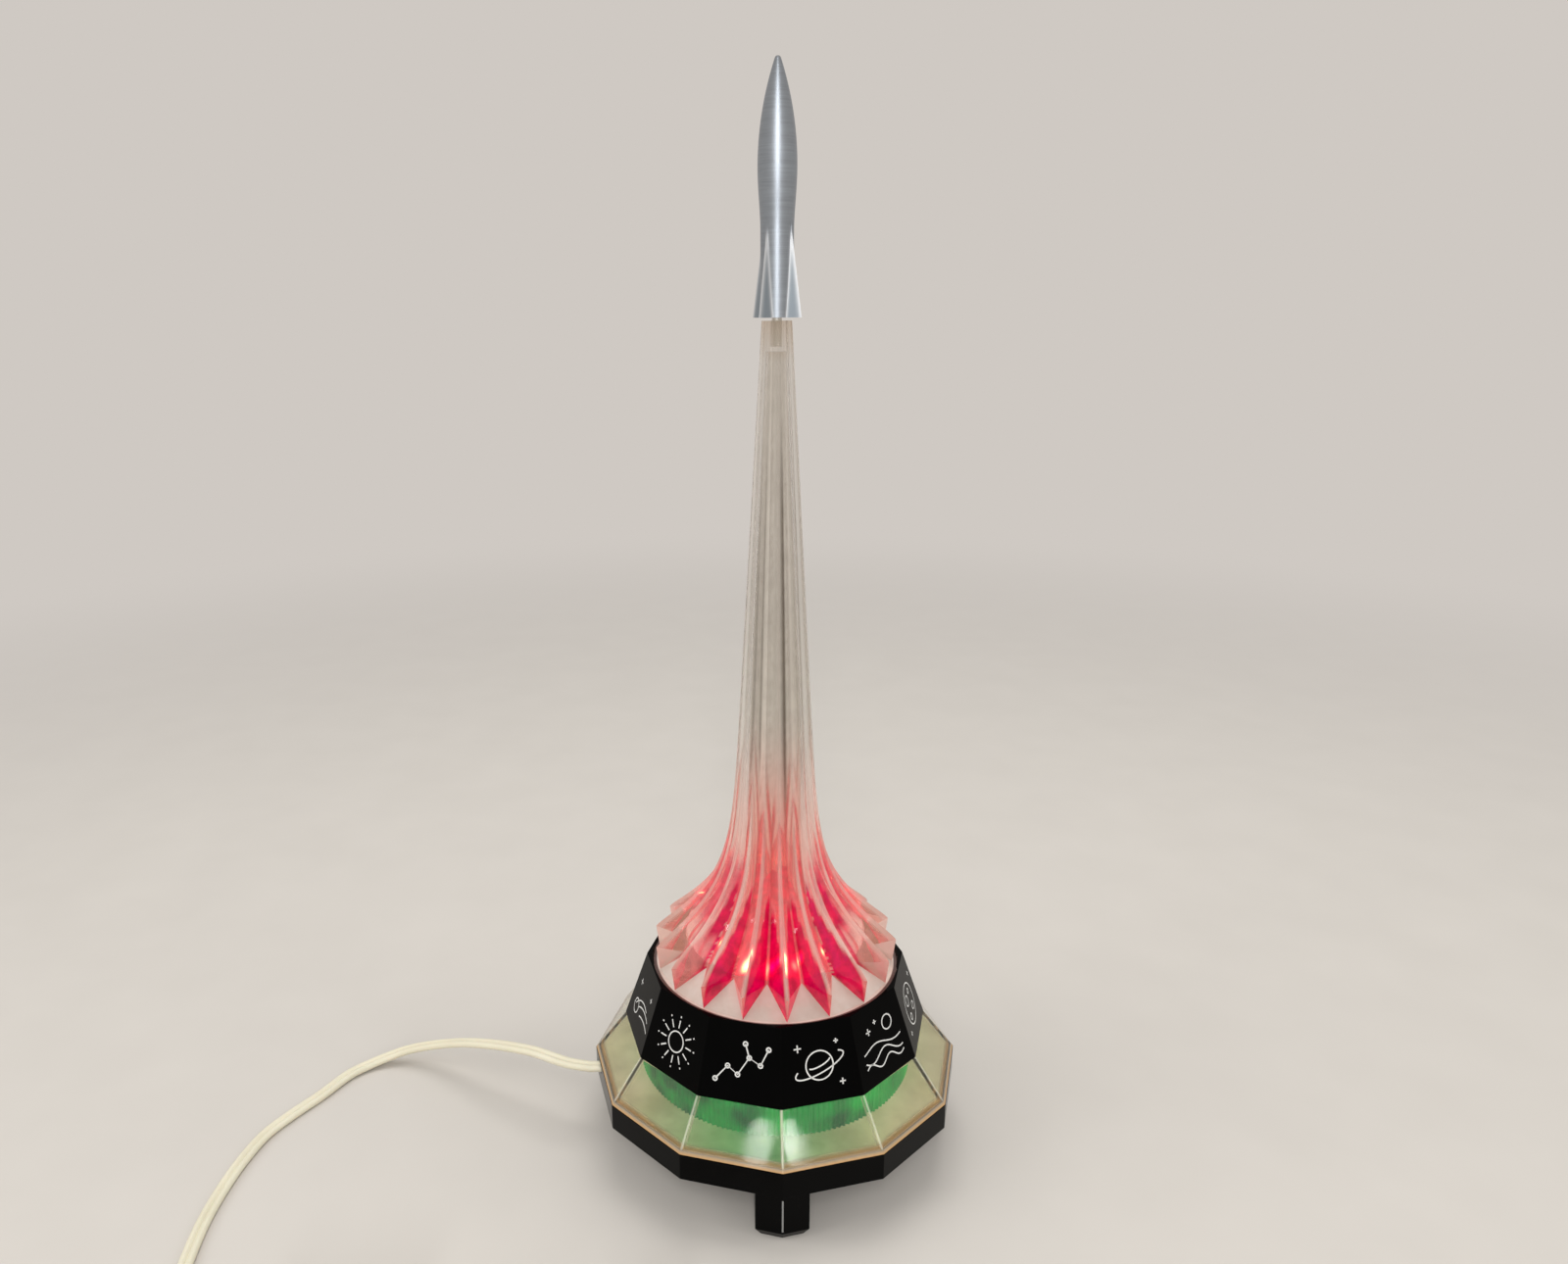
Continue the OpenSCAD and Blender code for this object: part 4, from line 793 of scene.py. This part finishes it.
print("plume: frosted faces", int((low_corners > 1).sum()))

# %% [markdown]
# ## Red filter
# A thin red cone with a closed top stands inside the plume's foot, a plain turned profile. Where the
# bulb's wire lies behind it, small yellow-white points shine through. They could be lamps, but then
# they would light the table too, so they are a number on the grid: a sum of small bell curves.

# %% Red filter


def turned(profile, segments=96):
    """Points of a profile (radius, height) in mm carried round the Z axis, as rows of one ring each."""
    a = np.linspace(0, 2 * np.pi, segments, endpoint=False)
    r, z = np.asarray(profile, float).T
    ring = np.stack([np.cos(a), np.sin(a)], axis=-1)
    flat = r[:, None, None] * ring[None]
    return np.concatenate([flat, np.broadcast_to(z[:, None, None], (len(z), segments, 1))], axis=-1) * MM


RED_FOOT_R, RED_TOP_R, RED_WALL, RED_H, RED_FLANGE_R, RED_IN_R = 36.0, 23.03, 1.5, 36.0, 39.44, 35.5
SEGMENTS = 240
rise = np.linspace(0, 1, 70)
foot_z, top_z = Z_FLANGE + RED_WALL, Z_FLANGE + RED_H
slant = RED_FOOT_R + (RED_TOP_R - RED_FOOT_R) * rise
outer = np.stack([slant, foot_z + (top_z - foot_z) * rise], axis=-1)
inner = np.stack([slant - RED_WALL, foot_z + (top_z - RED_WALL - foot_z) * rise], axis=-1)[::-1]
flange = [[RED_IN_R, Z_FLANGE], [RED_FLANGE_R, Z_FLANGE], [RED_FLANGE_R, foot_z]]
points = turned(np.concatenate([flange, outer, [[0, top_z], [0, top_z - RED_WALL]], inner]), SEGMENTS)
closed = np.concatenate([points, points[:1]])
red = solid("red_filter_cone", closed, grid_faces(len(closed), SEGMENTS))
# Each point of light is its bearing in degrees, height in mm, half width in degrees, half height in mm
# and strength.
spots = np.array([
    [-101, 93, 6.0, 3.6, 1.0], [-97, 98, 3.0, 2.4, 0.8], [-86, 95, 4.0, 2.4, 0.8], [-79, 97, 3.0, 2.0, 0.7],
    [-60, 98, 3.0, 2.0, 0.6], [-128, 99, 3.0, 2.0, 0.6], [-30, 94, 3.0, 2.0, 0.7],
    [-160, 95, 3.0, 2.0, 0.7], [10, 97, 2.5, 2.0, 0.6], [40, 93, 4.0, 2.6, 0.9],
    [82, 96, 2.5, 2.0, 0.7], [105, 93, 3.5, 2.6, 0.9], [150, 97, 3.0, 2.0, 0.7],
])
xyz = points_of(red)
bearing = np.degrees(np.arctan2(xyz[:, 1], xyz[:, 0]))[:, None]
aside = (bearing - spots[:, 0] + 180) % 360 - 180
reach = np.hypot(aside / spots[:, 2], (xyz[:, 2:] - spots[:, 1]) / spots[:, 3])
mark(red, "spark", (spots[:, 4] * np.exp(-(reach**2))).sum(axis=1))
print("red filter:", len(red.data.polygons), "faces")

# %% [markdown]
# The filter's acrylic is dyed red and stippled with small dimples, about two millimetres apart. The
# bulb behind lights it unevenly.

# %% Red filter: finish
tinted, tree, shader, place = new_finish("red_tinted_acrylic", Roughness=0.3, IOR=1.49,
                                         Transmission_Weight=0.15)
stipple = add(tree, "ShaderNodeTexVoronoi", {"Vector": place, "Scale": 1 / (2.2 * MM)})
blotch = add(tree, "ShaderNodeTexNoise", {"Vector": place, "Scale": 1 / (6 * MM), "Detail": 3.0})
blotch = blotch.outputs["Fac"]
spark = add(tree, "ShaderNodeAttribute", {}, attribute_name="spark").outputs["Fac"]
dye = add(tree, "ShaderNodeMix", {0: blotch, MIX_A: "#80002c", MIX_B: "#c80044"}, data_type="RGBA")
hot = add(tree, "ShaderNodeMix", {0: spark, MIX_A: "#ff0050", MIX_B: "#ffe08a"}, data_type="RGBA")
# The filter's uneven glow from the bulb is painted on as emission.
haze_and_glow = add(tree, "ShaderNodeMapRange", {
    "Value": blotch, "From Min": 0.3, "From Max": 0.7, "To Min": 0.25, "To Max": 0.6}).outputs["Result"]
power = add(tree, "ShaderNodeMath", {0: spark, 1: 14.0, 2: haze_and_glow}, operation="MULTIPLY_ADD")
bump = add(tree, "ShaderNodeBump", {
    "Height": stipple.outputs["Distance"], "Strength": 0.6, "Distance": 0.15 * MM})
feed(shader, {"Base Color": dye.outputs[MIXED], "Emission Color": hot.outputs[MIXED],
              "Emission Strength": power.outputs[0], "Normal": bump.outputs["Normal"]})
dress(red, "lamp", tinted, "filter_red", "red_filter")
print("red filter: finish", tinted.name)

# %% [markdown]
# ## Rocket
# The rocket is turned from aluminium, with four fins that are straight-sided ridges. Body and fins
# could be joined as solids, but one skin takes the light better: a radius that depends on angle and
# height, the larger of the turned body and of the fin's two flats. The grid's columns follow the seam
# between them, so that the seam is a clean edge.

# %% Rocket: body and fins
ROCKET_Z, ROCKET_L, BODY_R, WIDEST, WAIST_R, WAIST_H, NOSE_R = 369.2, 95.2, 7.7, 56.0, 6.6, 32.0, 0.9
FIN_H, FIN_R, FIN_ROOT, FIN_TURN = 37.2, 12.0, math.radians(22), math.radians(51.5)
FIN_APEX_R, FIN_FOOT_R = 0.95 * WAIST_R, 0.98 * WAIST_R
STUD_BORE, STUD_UP = 2.06, 15.0
FINS = 4


def body_at(h):
    """Straight below the waist, a cosine swell to the widest place, then one arc to the blunt point."""
    along = np.clip((h - WAIST_H) / (WIDEST - WAIST_H), 0, 1)
    swell = WAIST_R + (BODY_R - WAIST_R) * (1 - np.cos(np.pi * along)) / 2
    length, depth = ROCKET_L - WIDEST, BODY_R - NOSE_R
    arc = (length**2 + depth**2) / (2 * depth)
    nose = BODY_R - arc + np.sqrt(arc**2 - np.clip(h - WIDEST, 0, None) ** 2)
    return np.where(h < WIDEST, swell, nose)


def fin_line(h):
    """A fin's ridge (out, 0) and root (out, aside) at a height: straight lines to the fin's upper point."""
    f = np.clip(h / FIN_H, 0, 0.9999)
    root = FIN_FOOT_R * math.cos(FIN_ROOT)
    ridge = FIN_R + (FIN_APEX_R - FIN_R) * f
    return ridge, root + (FIN_APEX_R - root) * f, FIN_FOOT_R * math.sin(FIN_ROOT) * (1 - f)


def fin_at(angle, h):
    """Radius of the line from the fin's ridge to its root, at an angle from the ridge."""
    ridge, root, aside = fin_line(h)
    return np.where(h < FIN_H, ridge * aside / (aside * np.cos(angle) + (ridge - root) * np.sin(angle)), 0)


def seam_at(h):
    """Angle from the ridge where a fin's flat dips into the body: a line meets a circle."""
    ridge, root, aside = fin_line(h)
    run, over = root - ridge, ridge**2 - body_at(h) ** 2
    square = run**2 + aside**2
    t = (-ridge * run - np.sqrt(np.clip((ridge * run) ** 2 - square * over, 0, None))) / square
    return np.where((over > 0) & (h < FIN_H), np.arctan2(aside * t, ridge + run * t), 0)


print(f"rocket: {2 * BODY_R:.1f} mm wide, {2 * FIN_R:.1f} mm over the fins")

# %% [markdown]
# Rows of the grid lie close together where fins and point need it. On each row the columns go from the
# fin's ridge to the seam and on to the middle between two fins. A bore for the stud closes the skin
# below.

# %% Rocket: skin
tip_h = ROCKET_L - np.array([0.6, 0.3, 0.1, 0.0])
tip_share = np.array([1.0, 0.9, 0.65, 0.0])
h = np.concatenate([np.linspace(0, FIN_H + 4, 60), np.linspace(FIN_H + 5, ROCKET_L - 1, 80), tip_h])
seam = np.maximum(seam_at(h), math.radians(0.6))[:, None]
on_fin = np.array([0, 0.06, 0.15, 0.3, 0.5, 0.7, 0.85, 0.95, 1.0])
beside = np.array([0.03, 0.1, 0.25, 0.45, 0.65, 0.85])
steps = np.concatenate([seam * on_fin, seam + (math.pi / FINS - seam) * beside], axis=1)
spread = np.concatenate([np.full((len(h), 1), -math.pi / FINS), -steps[:, :0:-1], steps], axis=1)
r = np.maximum(body_at(h)[:, None], fin_at(np.abs(spread), h[:, None]))
r[-len(tip_h):] *= tip_share[:, None]
fin_angle = -np.pi / 2 + FIN_TURN + 2 * np.pi / FINS * np.arange(FINS)
angles = (fin_angle[None, :, None] + spread[:, None]).reshape(len(h), -1)
r = np.tile(r, (1, FINS))
stud_r = np.broadcast_to([[0.0], [STUD_BORE], [STUD_BORE]], (3, r.shape[1]))
r = np.concatenate([stud_r, r])
angles = np.concatenate([np.broadcast_to(angles[:1], (3, r.shape[1])), angles])
h = np.concatenate([[STUD_UP, STUD_UP, 0.0], h])
level = np.broadcast_to((ROCKET_Z + h)[:, None], r.shape)
shell = np.stack([r * np.cos(angles), r * np.sin(angles), level], axis=-1) * MM
rocket = solid("turned_rocket", shell, grid_faces(*r.shape), sharp_deg=18)
print("rocket:", len(rocket.data.polygons), "faces")

# %% [markdown]
# The aluminium is satin, with fine turning lines, drawn coarser than they are. The fins' milled flats
# are lighter, and a painted highlight runs as a pale line along their ridges and seams. Two numbers on
# each point say where: `flat` and `painted_edge_highlight`.

# %% Rocket: finish
xyz = points_of(rocket)
up = xyz[:, 2] - ROCKET_Z
bearing = np.arctan2(xyz[:, 1], xyz[:, 0]) - fin_angle[0]
aside = np.abs((bearing + np.pi / FINS) % (2 * np.pi / FINS) - np.pi / FINS)
seam = seam_at(up)
out_r = np.hypot(xyz[:, 0], xyz[:, 1])
# A painted highlight line's half width is in mm. The other two are soft borders in radians.
HIGHLIGHT_HALF_W, FIN_STARTS, FLAT_BORDER = 0.4, 0.06, 0.04
fades_in = eased(seam / FIN_STARTS)
seam_line = np.exp(-(((aside - seam) * out_r / HIGHLIGHT_HALF_W) ** 2))
ridge_line = np.exp(-((aside * out_r / HIGHLIGHT_HALF_W) ** 2))
mark(rocket, "flat", eased((seam - aside) / FLAT_BORDER + 0.5) * fades_in)
mark(rocket, "painted_edge_highlight", np.clip(0.8 * seam_line + ridge_line, 0, 1) * fades_in)
satin = machined("satin_turned_aluminium", "#8a9097", "#adb4bc", 0.42, line_mm=0.5)
tree = satin.node_tree
shader = tree.nodes["Principled BSDF"]
turned_tone = shader.inputs["Base Color"].links[0].from_socket
flat = add(tree, "ShaderNodeAttribute", {}, attribute_name="flat").outputs["Fac"]
painted_edge_highlight = add(tree, "ShaderNodeAttribute", {}, attribute_name="painted_edge_highlight").outputs["Fac"]
milled = add(tree, "ShaderNodeMix", {0: flat, MIX_A: turned_tone, MIX_B: "#959fa8"}, data_type="RGBA")
painted_highlight = add(tree, "ShaderNodeMix", {0: painted_edge_highlight, MIX_A: milled.outputs[MIXED], MIX_B: "#e6eaee"},
           data_type="RGBA")
feed(shader, {"Base Color": painted_highlight.outputs[MIXED]})
dress(rocket, "rocket", satin, "rocket_metal", "rocket")
print("rocket: finish", satin.name)

# %% [markdown]
# ## Drawings on the collar
# Each side of the collar has a small picture in thin white lines, scratched through the black and
# rubbed with paint. They are plain sky pictures made for this lamp. A picture is a list of strokes, and
# a stroke is a row of points on the flat side, in millimetres from its middle.

# %% Drawings: strokes
WAVE_HALF, WAVE_POINTS = 12.5, 60


def round_line(x, y, rx, ry=None, start=0, stop=360, tilt=0):
    """Points on an ellipse from start to stop degrees, turned by tilt."""
    a = np.radians(np.linspace(start, stop, 49))
    p = np.stack([rx * np.cos(a), (ry or rx) * np.sin(a)], axis=-1)
    ct, st = math.cos(math.radians(tilt)), math.sin(math.radians(tilt))
    return p @ np.array([[ct, st], [-st, ct]]) + [x, y]


def twinkle(x, y, size):
    """Two crossed strokes, each twice the size long."""
    return [np.array([[x - size, y], [x + size, y]]), np.array([[x, y - size], [x, y + size]])]


def rays(near, far, count):
    """Straight strokes round the middle at even angles, from radius near to radius far."""
    a = 2 * np.pi * np.arange(count) / count
    d = np.stack([np.cos(a), np.sin(a)], axis=-1)
    return list(np.stack([near * d, far * d], axis=1))


def wave(y, swing, length, phase):
    """A sine wave across the side: y is its middle, swing its height and length its wavelength."""
    x = np.linspace(-WAVE_HALF, WAVE_HALF, WAVE_POINTS)
    return np.stack([x, y + swing * np.sin(2 * np.pi * x / length + phase)], axis=-1)


stars = np.array([[-11, -7], [-6, -1], [-1.5, -4], [3, 3.5], [8, 1], [11, 8]])
branch = np.array([[3, 3.5], [1, 9]])
star_path = [stars, branch, *[round_line(x, y, 0.9) for x, y in [*stars, branch[1]]]]
ringed_planet = [
    round_line(0, 0, 6), round_line(0, 0, 11.5, 3.2, 148, 392, 20), round_line(0, 1, 5, 1.4, 190, 350, 20),
    *twinkle(-9, 8, 1.6), *twinkle(9.5, -8, 1.3), *twinkle(8, 9, 1.0),
]
dunes = [
    wave(-8, 1.6, 13, 0), wave(-4.5, 2.0, 19, 1.2), wave(-0.5, 1.4, 24, 2.6), round_line(5.5, 6.5, 3.1),
    *twinkle(-7, 7, 1.5), *twinkle(-2, 9.5, 1.0),
]
full_moon = [
    round_line(0, 0, 9), round_line(-3, 3, 2.3), round_line(3.5, -3, 1.7), round_line(3, 4.5, 1.1),
    round_line(-3.5, -4.5, 1.4), *twinkle(11.5, 8.5, 1.2), *twinkle(-11.5, -8, 1.2),
]
comet = [
    round_line(-7, -5, 3.2), round_line(3, -12, 14, 13, 70, 145), round_line(6, -11, 14, 10, 62, 138),
    round_line(8, -11, 12, 6.5, 55, 130), *twinkle(-9, 6, 1.5), *twinkle(9, 7, 1.2),
]
bright_sun = [round_line(0, 0, 4.4), *rays(6, 9.4, 12), *rays(10.6, 11.4, 12)]
pictures = [star_path, ringed_planet, dunes, full_moon, comet, bright_sun]
print("pictures:", len(pictures), "with", sum(len(p) for p in pictures), "strokes")

# %% [markdown]
# Every stroke becomes a ribbon of even width, laid on the sloping side a hair above it. A painted line
# in the collar's finish would need a picture, and ribbons stay sharp at any size.

# %% Drawings: ribbons
LINE_W, LINE_LIFT, SIDES, FIRST_SIDE_DEG = 0.6, 0.06, 12, -105
COLLAR_LOW_R, COLLAR_HIGH_R, COLLAR_LOW_Z, COLLAR_HIGH_Z = 70.3, 59.2, 53.0, 84.5


def ribbon(stroke):
    """Left and right edges of a stroke, half the line's width to each side of it."""
    t = np.gradient(stroke, axis=0)
    t /= np.linalg.norm(t, axis=1, keepdims=True)
    n = np.stack([-t[:, 1], t[:, 0]], axis=-1) * LINE_W / 2
    return np.stack([stroke + n, stroke - n], axis=1)


flat_share = math.cos(math.pi / SIDES)
low = np.array([COLLAR_LOW_R * flat_share, COLLAR_LOW_Z])
high = np.array([COLLAR_HIGH_R * flat_share, COLLAR_HIGH_Z])
middle, slope = (low + high) / 2, (high - low) / np.linalg.norm(high - low)
points, faces, count = [], [], 0
for side in range(SIDES):
    a = math.radians(FIRST_SIDE_DEG + 360 / SIDES * side)
    outward = np.array([math.cos(a), math.sin(a), 0])
    along = np.array([-math.sin(a), math.cos(a), 0])
    up = outward * slope[0] + np.array([0, 0, slope[1]])
    # A picture sits one millimetre below the middle of its side.
    centre = outward * middle[0] + np.array([0, 0, middle[1]]) - up + np.cross(along, up) * LINE_LIFT
    for stroke in pictures[side % len(pictures)]:
        flat = ribbon(np.asarray(stroke, float)).reshape(-1, 2)
        points.append(centre + flat[:, :1] * along + flat[:, 1:] * up)
        faces += grid_faces(len(stroke), 2, count, closed=False)
        count += len(flat)
mesh = bpy.data.meshes.new("collar_drawings")
mesh.from_pydata((np.concatenate(points) * MM).tolist(), [], faces)
drawings = bpy.data.objects.new("collar_drawings", mesh)
bpy.context.collection.objects.link(drawings)
white_paint = moulded("rubbed_white_paint", "#b9b8b4", "#e6e5e1", 0.6, grain_mm=0.5)
dress(drawings, "lamp", white_paint, "collar_black")
print("drawings:", len(faces), "faces")

# %% [markdown]
# ## Skirt, green ring and deck
# The skirt's acrylic has yellowed, and along its lower edge it is amber and less clear. Its corners
# carry a painted highlight as pale, less clear lines. It could be made anew, but the solid already has
# its shape and only needs soft edges. Its bending of light is set lower than acrylic's, because the
# room's mirror image would veil the ring behind it.

# %% Skirt
# The lower edge's amber ends between two heights, and a corner's painted highlight between two angles in
# radians.
EDGE_LOW, EDGE_HIGH, CORNER_FULL, CORNER_GONE = 34.2 * MM, 36.4 * MM, 0.003, 0.011
yellowed, tree, shader, place = new_finish("yellowed_clear_acrylic", IOR=1.3)
smear = add(tree, "ShaderNodeTexNoise", {"Vector": place, "Scale": 1 / (12 * MM), "Detail": 3.0})
smear = smear.outputs["Fac"]
dull = add(tree, "ShaderNodeMapRange", {
    "Value": smear, "From Min": 0.35, "From Max": 0.7, "To Min": 0.02, "To Max": 0.08})
axes = add(tree, "ShaderNodeSeparateXYZ", {"Vector": place}).outputs
edge = add(tree, "ShaderNodeMapRange", {
    "Value": axes["Z"], "From Min": EDGE_LOW, "From Max": EDGE_HIGH, "To Min": 1.0, "To Max": 0.0,
}, interpolation_type="SMOOTHSTEP").outputs["Result"]
bearing = add(tree, "ShaderNodeMath", {0: axes["Y"], 1: axes["X"]}, operation="ARCTAN2").outputs[0]
aside = add(tree, "ShaderNodeMath", {0: bearing, 1: math.pi / SIDES}, operation="PINGPONG").outputs[0]
# Painted highlight: the corners are made paler and less clear.
painted_highlight = add(tree, "ShaderNodeMapRange", {
    "Value": aside, "From Min": CORNER_FULL, "From Max": CORNER_GONE, "To Min": 0.5, "To Max": 0.0})
milky = add(tree, "ShaderNodeMath", {0: edge, 1: painted_highlight.outputs["Result"]}, operation="MAXIMUM").outputs[0]
clear = add(tree, "ShaderNodeMapRange", {"Value": milky, "To Min": 0.97, "To Max": 0.3})
aged = add(tree, "ShaderNodeMix", {0: smear, MIX_A: "#f4f2e4", MIX_B: "#ece8cc"}, data_type="RGBA")
aged = add(tree, "ShaderNodeMix", {0: edge, MIX_A: aged.outputs[MIXED], MIX_B: "#dcae78"}, data_type="RGBA")
feed(shader, {"Base Color": aged.outputs[MIXED], "Roughness": dull.outputs["Result"],
              "Transmission Weight": clear.outputs["Result"]})
skirt = softened("skirt", yellowed, "skirt_clear", 0.4)
print("skirt:", skirt.name, yellowed.name)

# %% [markdown]
# The ring behind the skirt is green acrylic, moulded with ribs and lit from inside, so it is brighter
# in some places. A lamp in it could do that, but its light through ribs would be noise, so the ring
# glows by itself. From here on many pieces keep their own solids, and `wear` gives such a solid its
# finish.

# %% Green ring


def wear(node, finish):
    """Gives a node's own solid a finish."""
    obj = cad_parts[node]
    obj.data.materials.clear()
    obj.data.materials.append(finish)


green, tree, shader, place = new_finish("green_ribbed_acrylic", Roughness=0.2, IOR=1.49,
                                        Transmission_Weight=0.15, Emission_Strength=0.75)
patch = add(tree, "ShaderNodeTexNoise", {"Vector": place, "Scale": 1 / (18 * MM), "Detail": 2.0})
patch = patch.outputs["Fac"]
patch = add(tree, "ShaderNodeMapRange", {"Value": patch, "From Min": 0.35, "From Max": 0.65})
patch = patch.outputs["Result"]
emerald = add(tree, "ShaderNodeMix", {0: patch, MIX_A: "#00512f", MIX_B: "#049645"}, data_type="RGBA")
feed(shader, {"Base Color": emerald.outputs[MIXED], "Emission Color": emerald.outputs[MIXED]})
wear("green_filter", green)
print("green ring: finish", green.name)

# %% [markdown]
# The deck under skirt and ring is steel with white enamel, smooth and a little cloudy. It mirrors the
# ring's green, most at the front. A lamp in the ring could throw that light, but it would make the
# shadows noisy, so the green is a painted reflection in the deck's finish. The whole deck also glows
# faintly in its own colours, painted light for what reaches it through the skirt.

# %% Deck
GREEN_AT = tuple(v * MM for v in (-12.0, -66.0, 34.0))
GREEN_NEAR, GREEN_FAR = 8 * MM, 62 * MM
enamel, tree, shader, place = new_finish("white_enamelled_steel", Roughness=0.3, Emission_Strength=0.22)
reach = add(tree, "ShaderNodeVectorMath", {0: place, 1: GREEN_AT}, operation="DISTANCE").outputs["Value"]
near = add(tree, "ShaderNodeMapRange", {
    "Value": reach, "From Min": GREEN_NEAR, "From Max": GREEN_FAR, "To Min": 0.95, "To Max": 0.0})
near = near.outputs["Result"]
cloud = add(tree, "ShaderNodeTexNoise", {"Vector": place, "Scale": 1 / (14 * MM), "Detail": 4.0})
cloud = cloud.outputs["Fac"]
cloud = add(tree, "ShaderNodeMapRange", {"Value": cloud, "From Min": 0.35, "From Max": 0.65})
cloud = cloud.outputs["Result"]
paint = add(tree, "ShaderNodeMix", {0: cloud, MIX_A: "#dccfb8", MIX_B: "#f2e6d2"}, data_type="RGBA")
sheen = add(tree, "ShaderNodeMix", {0: cloud, MIX_A: "#3aa062", MIX_B: "#7ec98a"}, data_type="RGBA")
mirror = add(tree, "ShaderNodeMix", {0: near, MIX_A: paint.outputs[MIXED], MIX_B: sheen.outputs[MIXED]},
             data_type="RGBA")
feed(shader, {"Base Color": mirror.outputs[MIXED], "Emission Color": mirror.outputs[MIXED]})
wear("deck_plate", enamel)
print("deck: finish", enamel.name)

# %% [markdown]
# ## Inner pieces
# The pieces that only show through the clear ones, or when the lamp is taken apart, keep their solids
# and get the finish of what they are made of. Opal polystyrene scatters light and looks milky. Bakelite
# is a dark brown resin with a dull shine, and vitrite a black glass. The cores' PVC is white and waxy,
# and the clamp's ABS black and matt. The stud's steel is turned satin and pale, and the bulb's cap
# rolled from thin aluminium. Blown glass is clear and even, and the wire in it glows yellow.

# %% Finishes of the inner pieces
# The opal ring's faint glow is painted light from the bulb.
opal = moulded("opal_polystyrene", "#efe6da", "#f7f1e8", 0.4,
               Emission_Color="#ffb9a0", Emission_Strength=0.08)
bakelite = moulded("brown_bakelite", "#1c110b", "#2c1b12", 0.3)
core_pvc = moulded("white_core_pvc", "#d8d8d6", "#ececea", 0.45)
clamp_abs = moulded("black_clamp_abs", "#151517", "#202022", 0.45)
vitrite = moulded("black_vitrite", "#0c0c0f", "#17171b", 0.2)
bright_steel = machined("bright_steel", "#dcdad4", "#f5f3ee", 0.5)
rolled_aluminium = machined("rolled_aluminium", "#a9aaab", "#cfd0d0", 0.3)
blown_glass = new_finish("clear_blown_glass", Roughness=0.02, IOR=1.5, Transmission_Weight=1.0,
                         Base_Color="#fbf7ee")[0]
hot_wire = new_finish("glowing_tungsten", Roughness=0.5, Metallic=1.0, Base_Color="#a08060",
                      Emission_Color="#ffd080", Emission_Strength=8.0)[0]
finishes = {
    opal: ["diffuser_ring"], bright_steel: ["rocket_stud"],
    zinc: ["holder_nipple", "holder_nut", "clamp_screws"],
    bakelite: ["holder_body"], brass: ["holder_shell", "holder_contact", "switch_contacts"],
    blown_glass: ["bulb_glass", "bulb_stem"], rolled_aluminium: ["bulb_cap"], vitrite: ["bulb_insulator"],
    hot_wire: ["bulb_filament"], flex_pvc: ["flex_inside"], core_pvc: ["core_wires"],
    clamp_abs: ["cord_clamp"],
}
for finish, nodes in finishes.items():
    for node in nodes:
        wear(node, finish)
print("inner pieces:", sum(len(nodes) for nodes in finishes.values()))
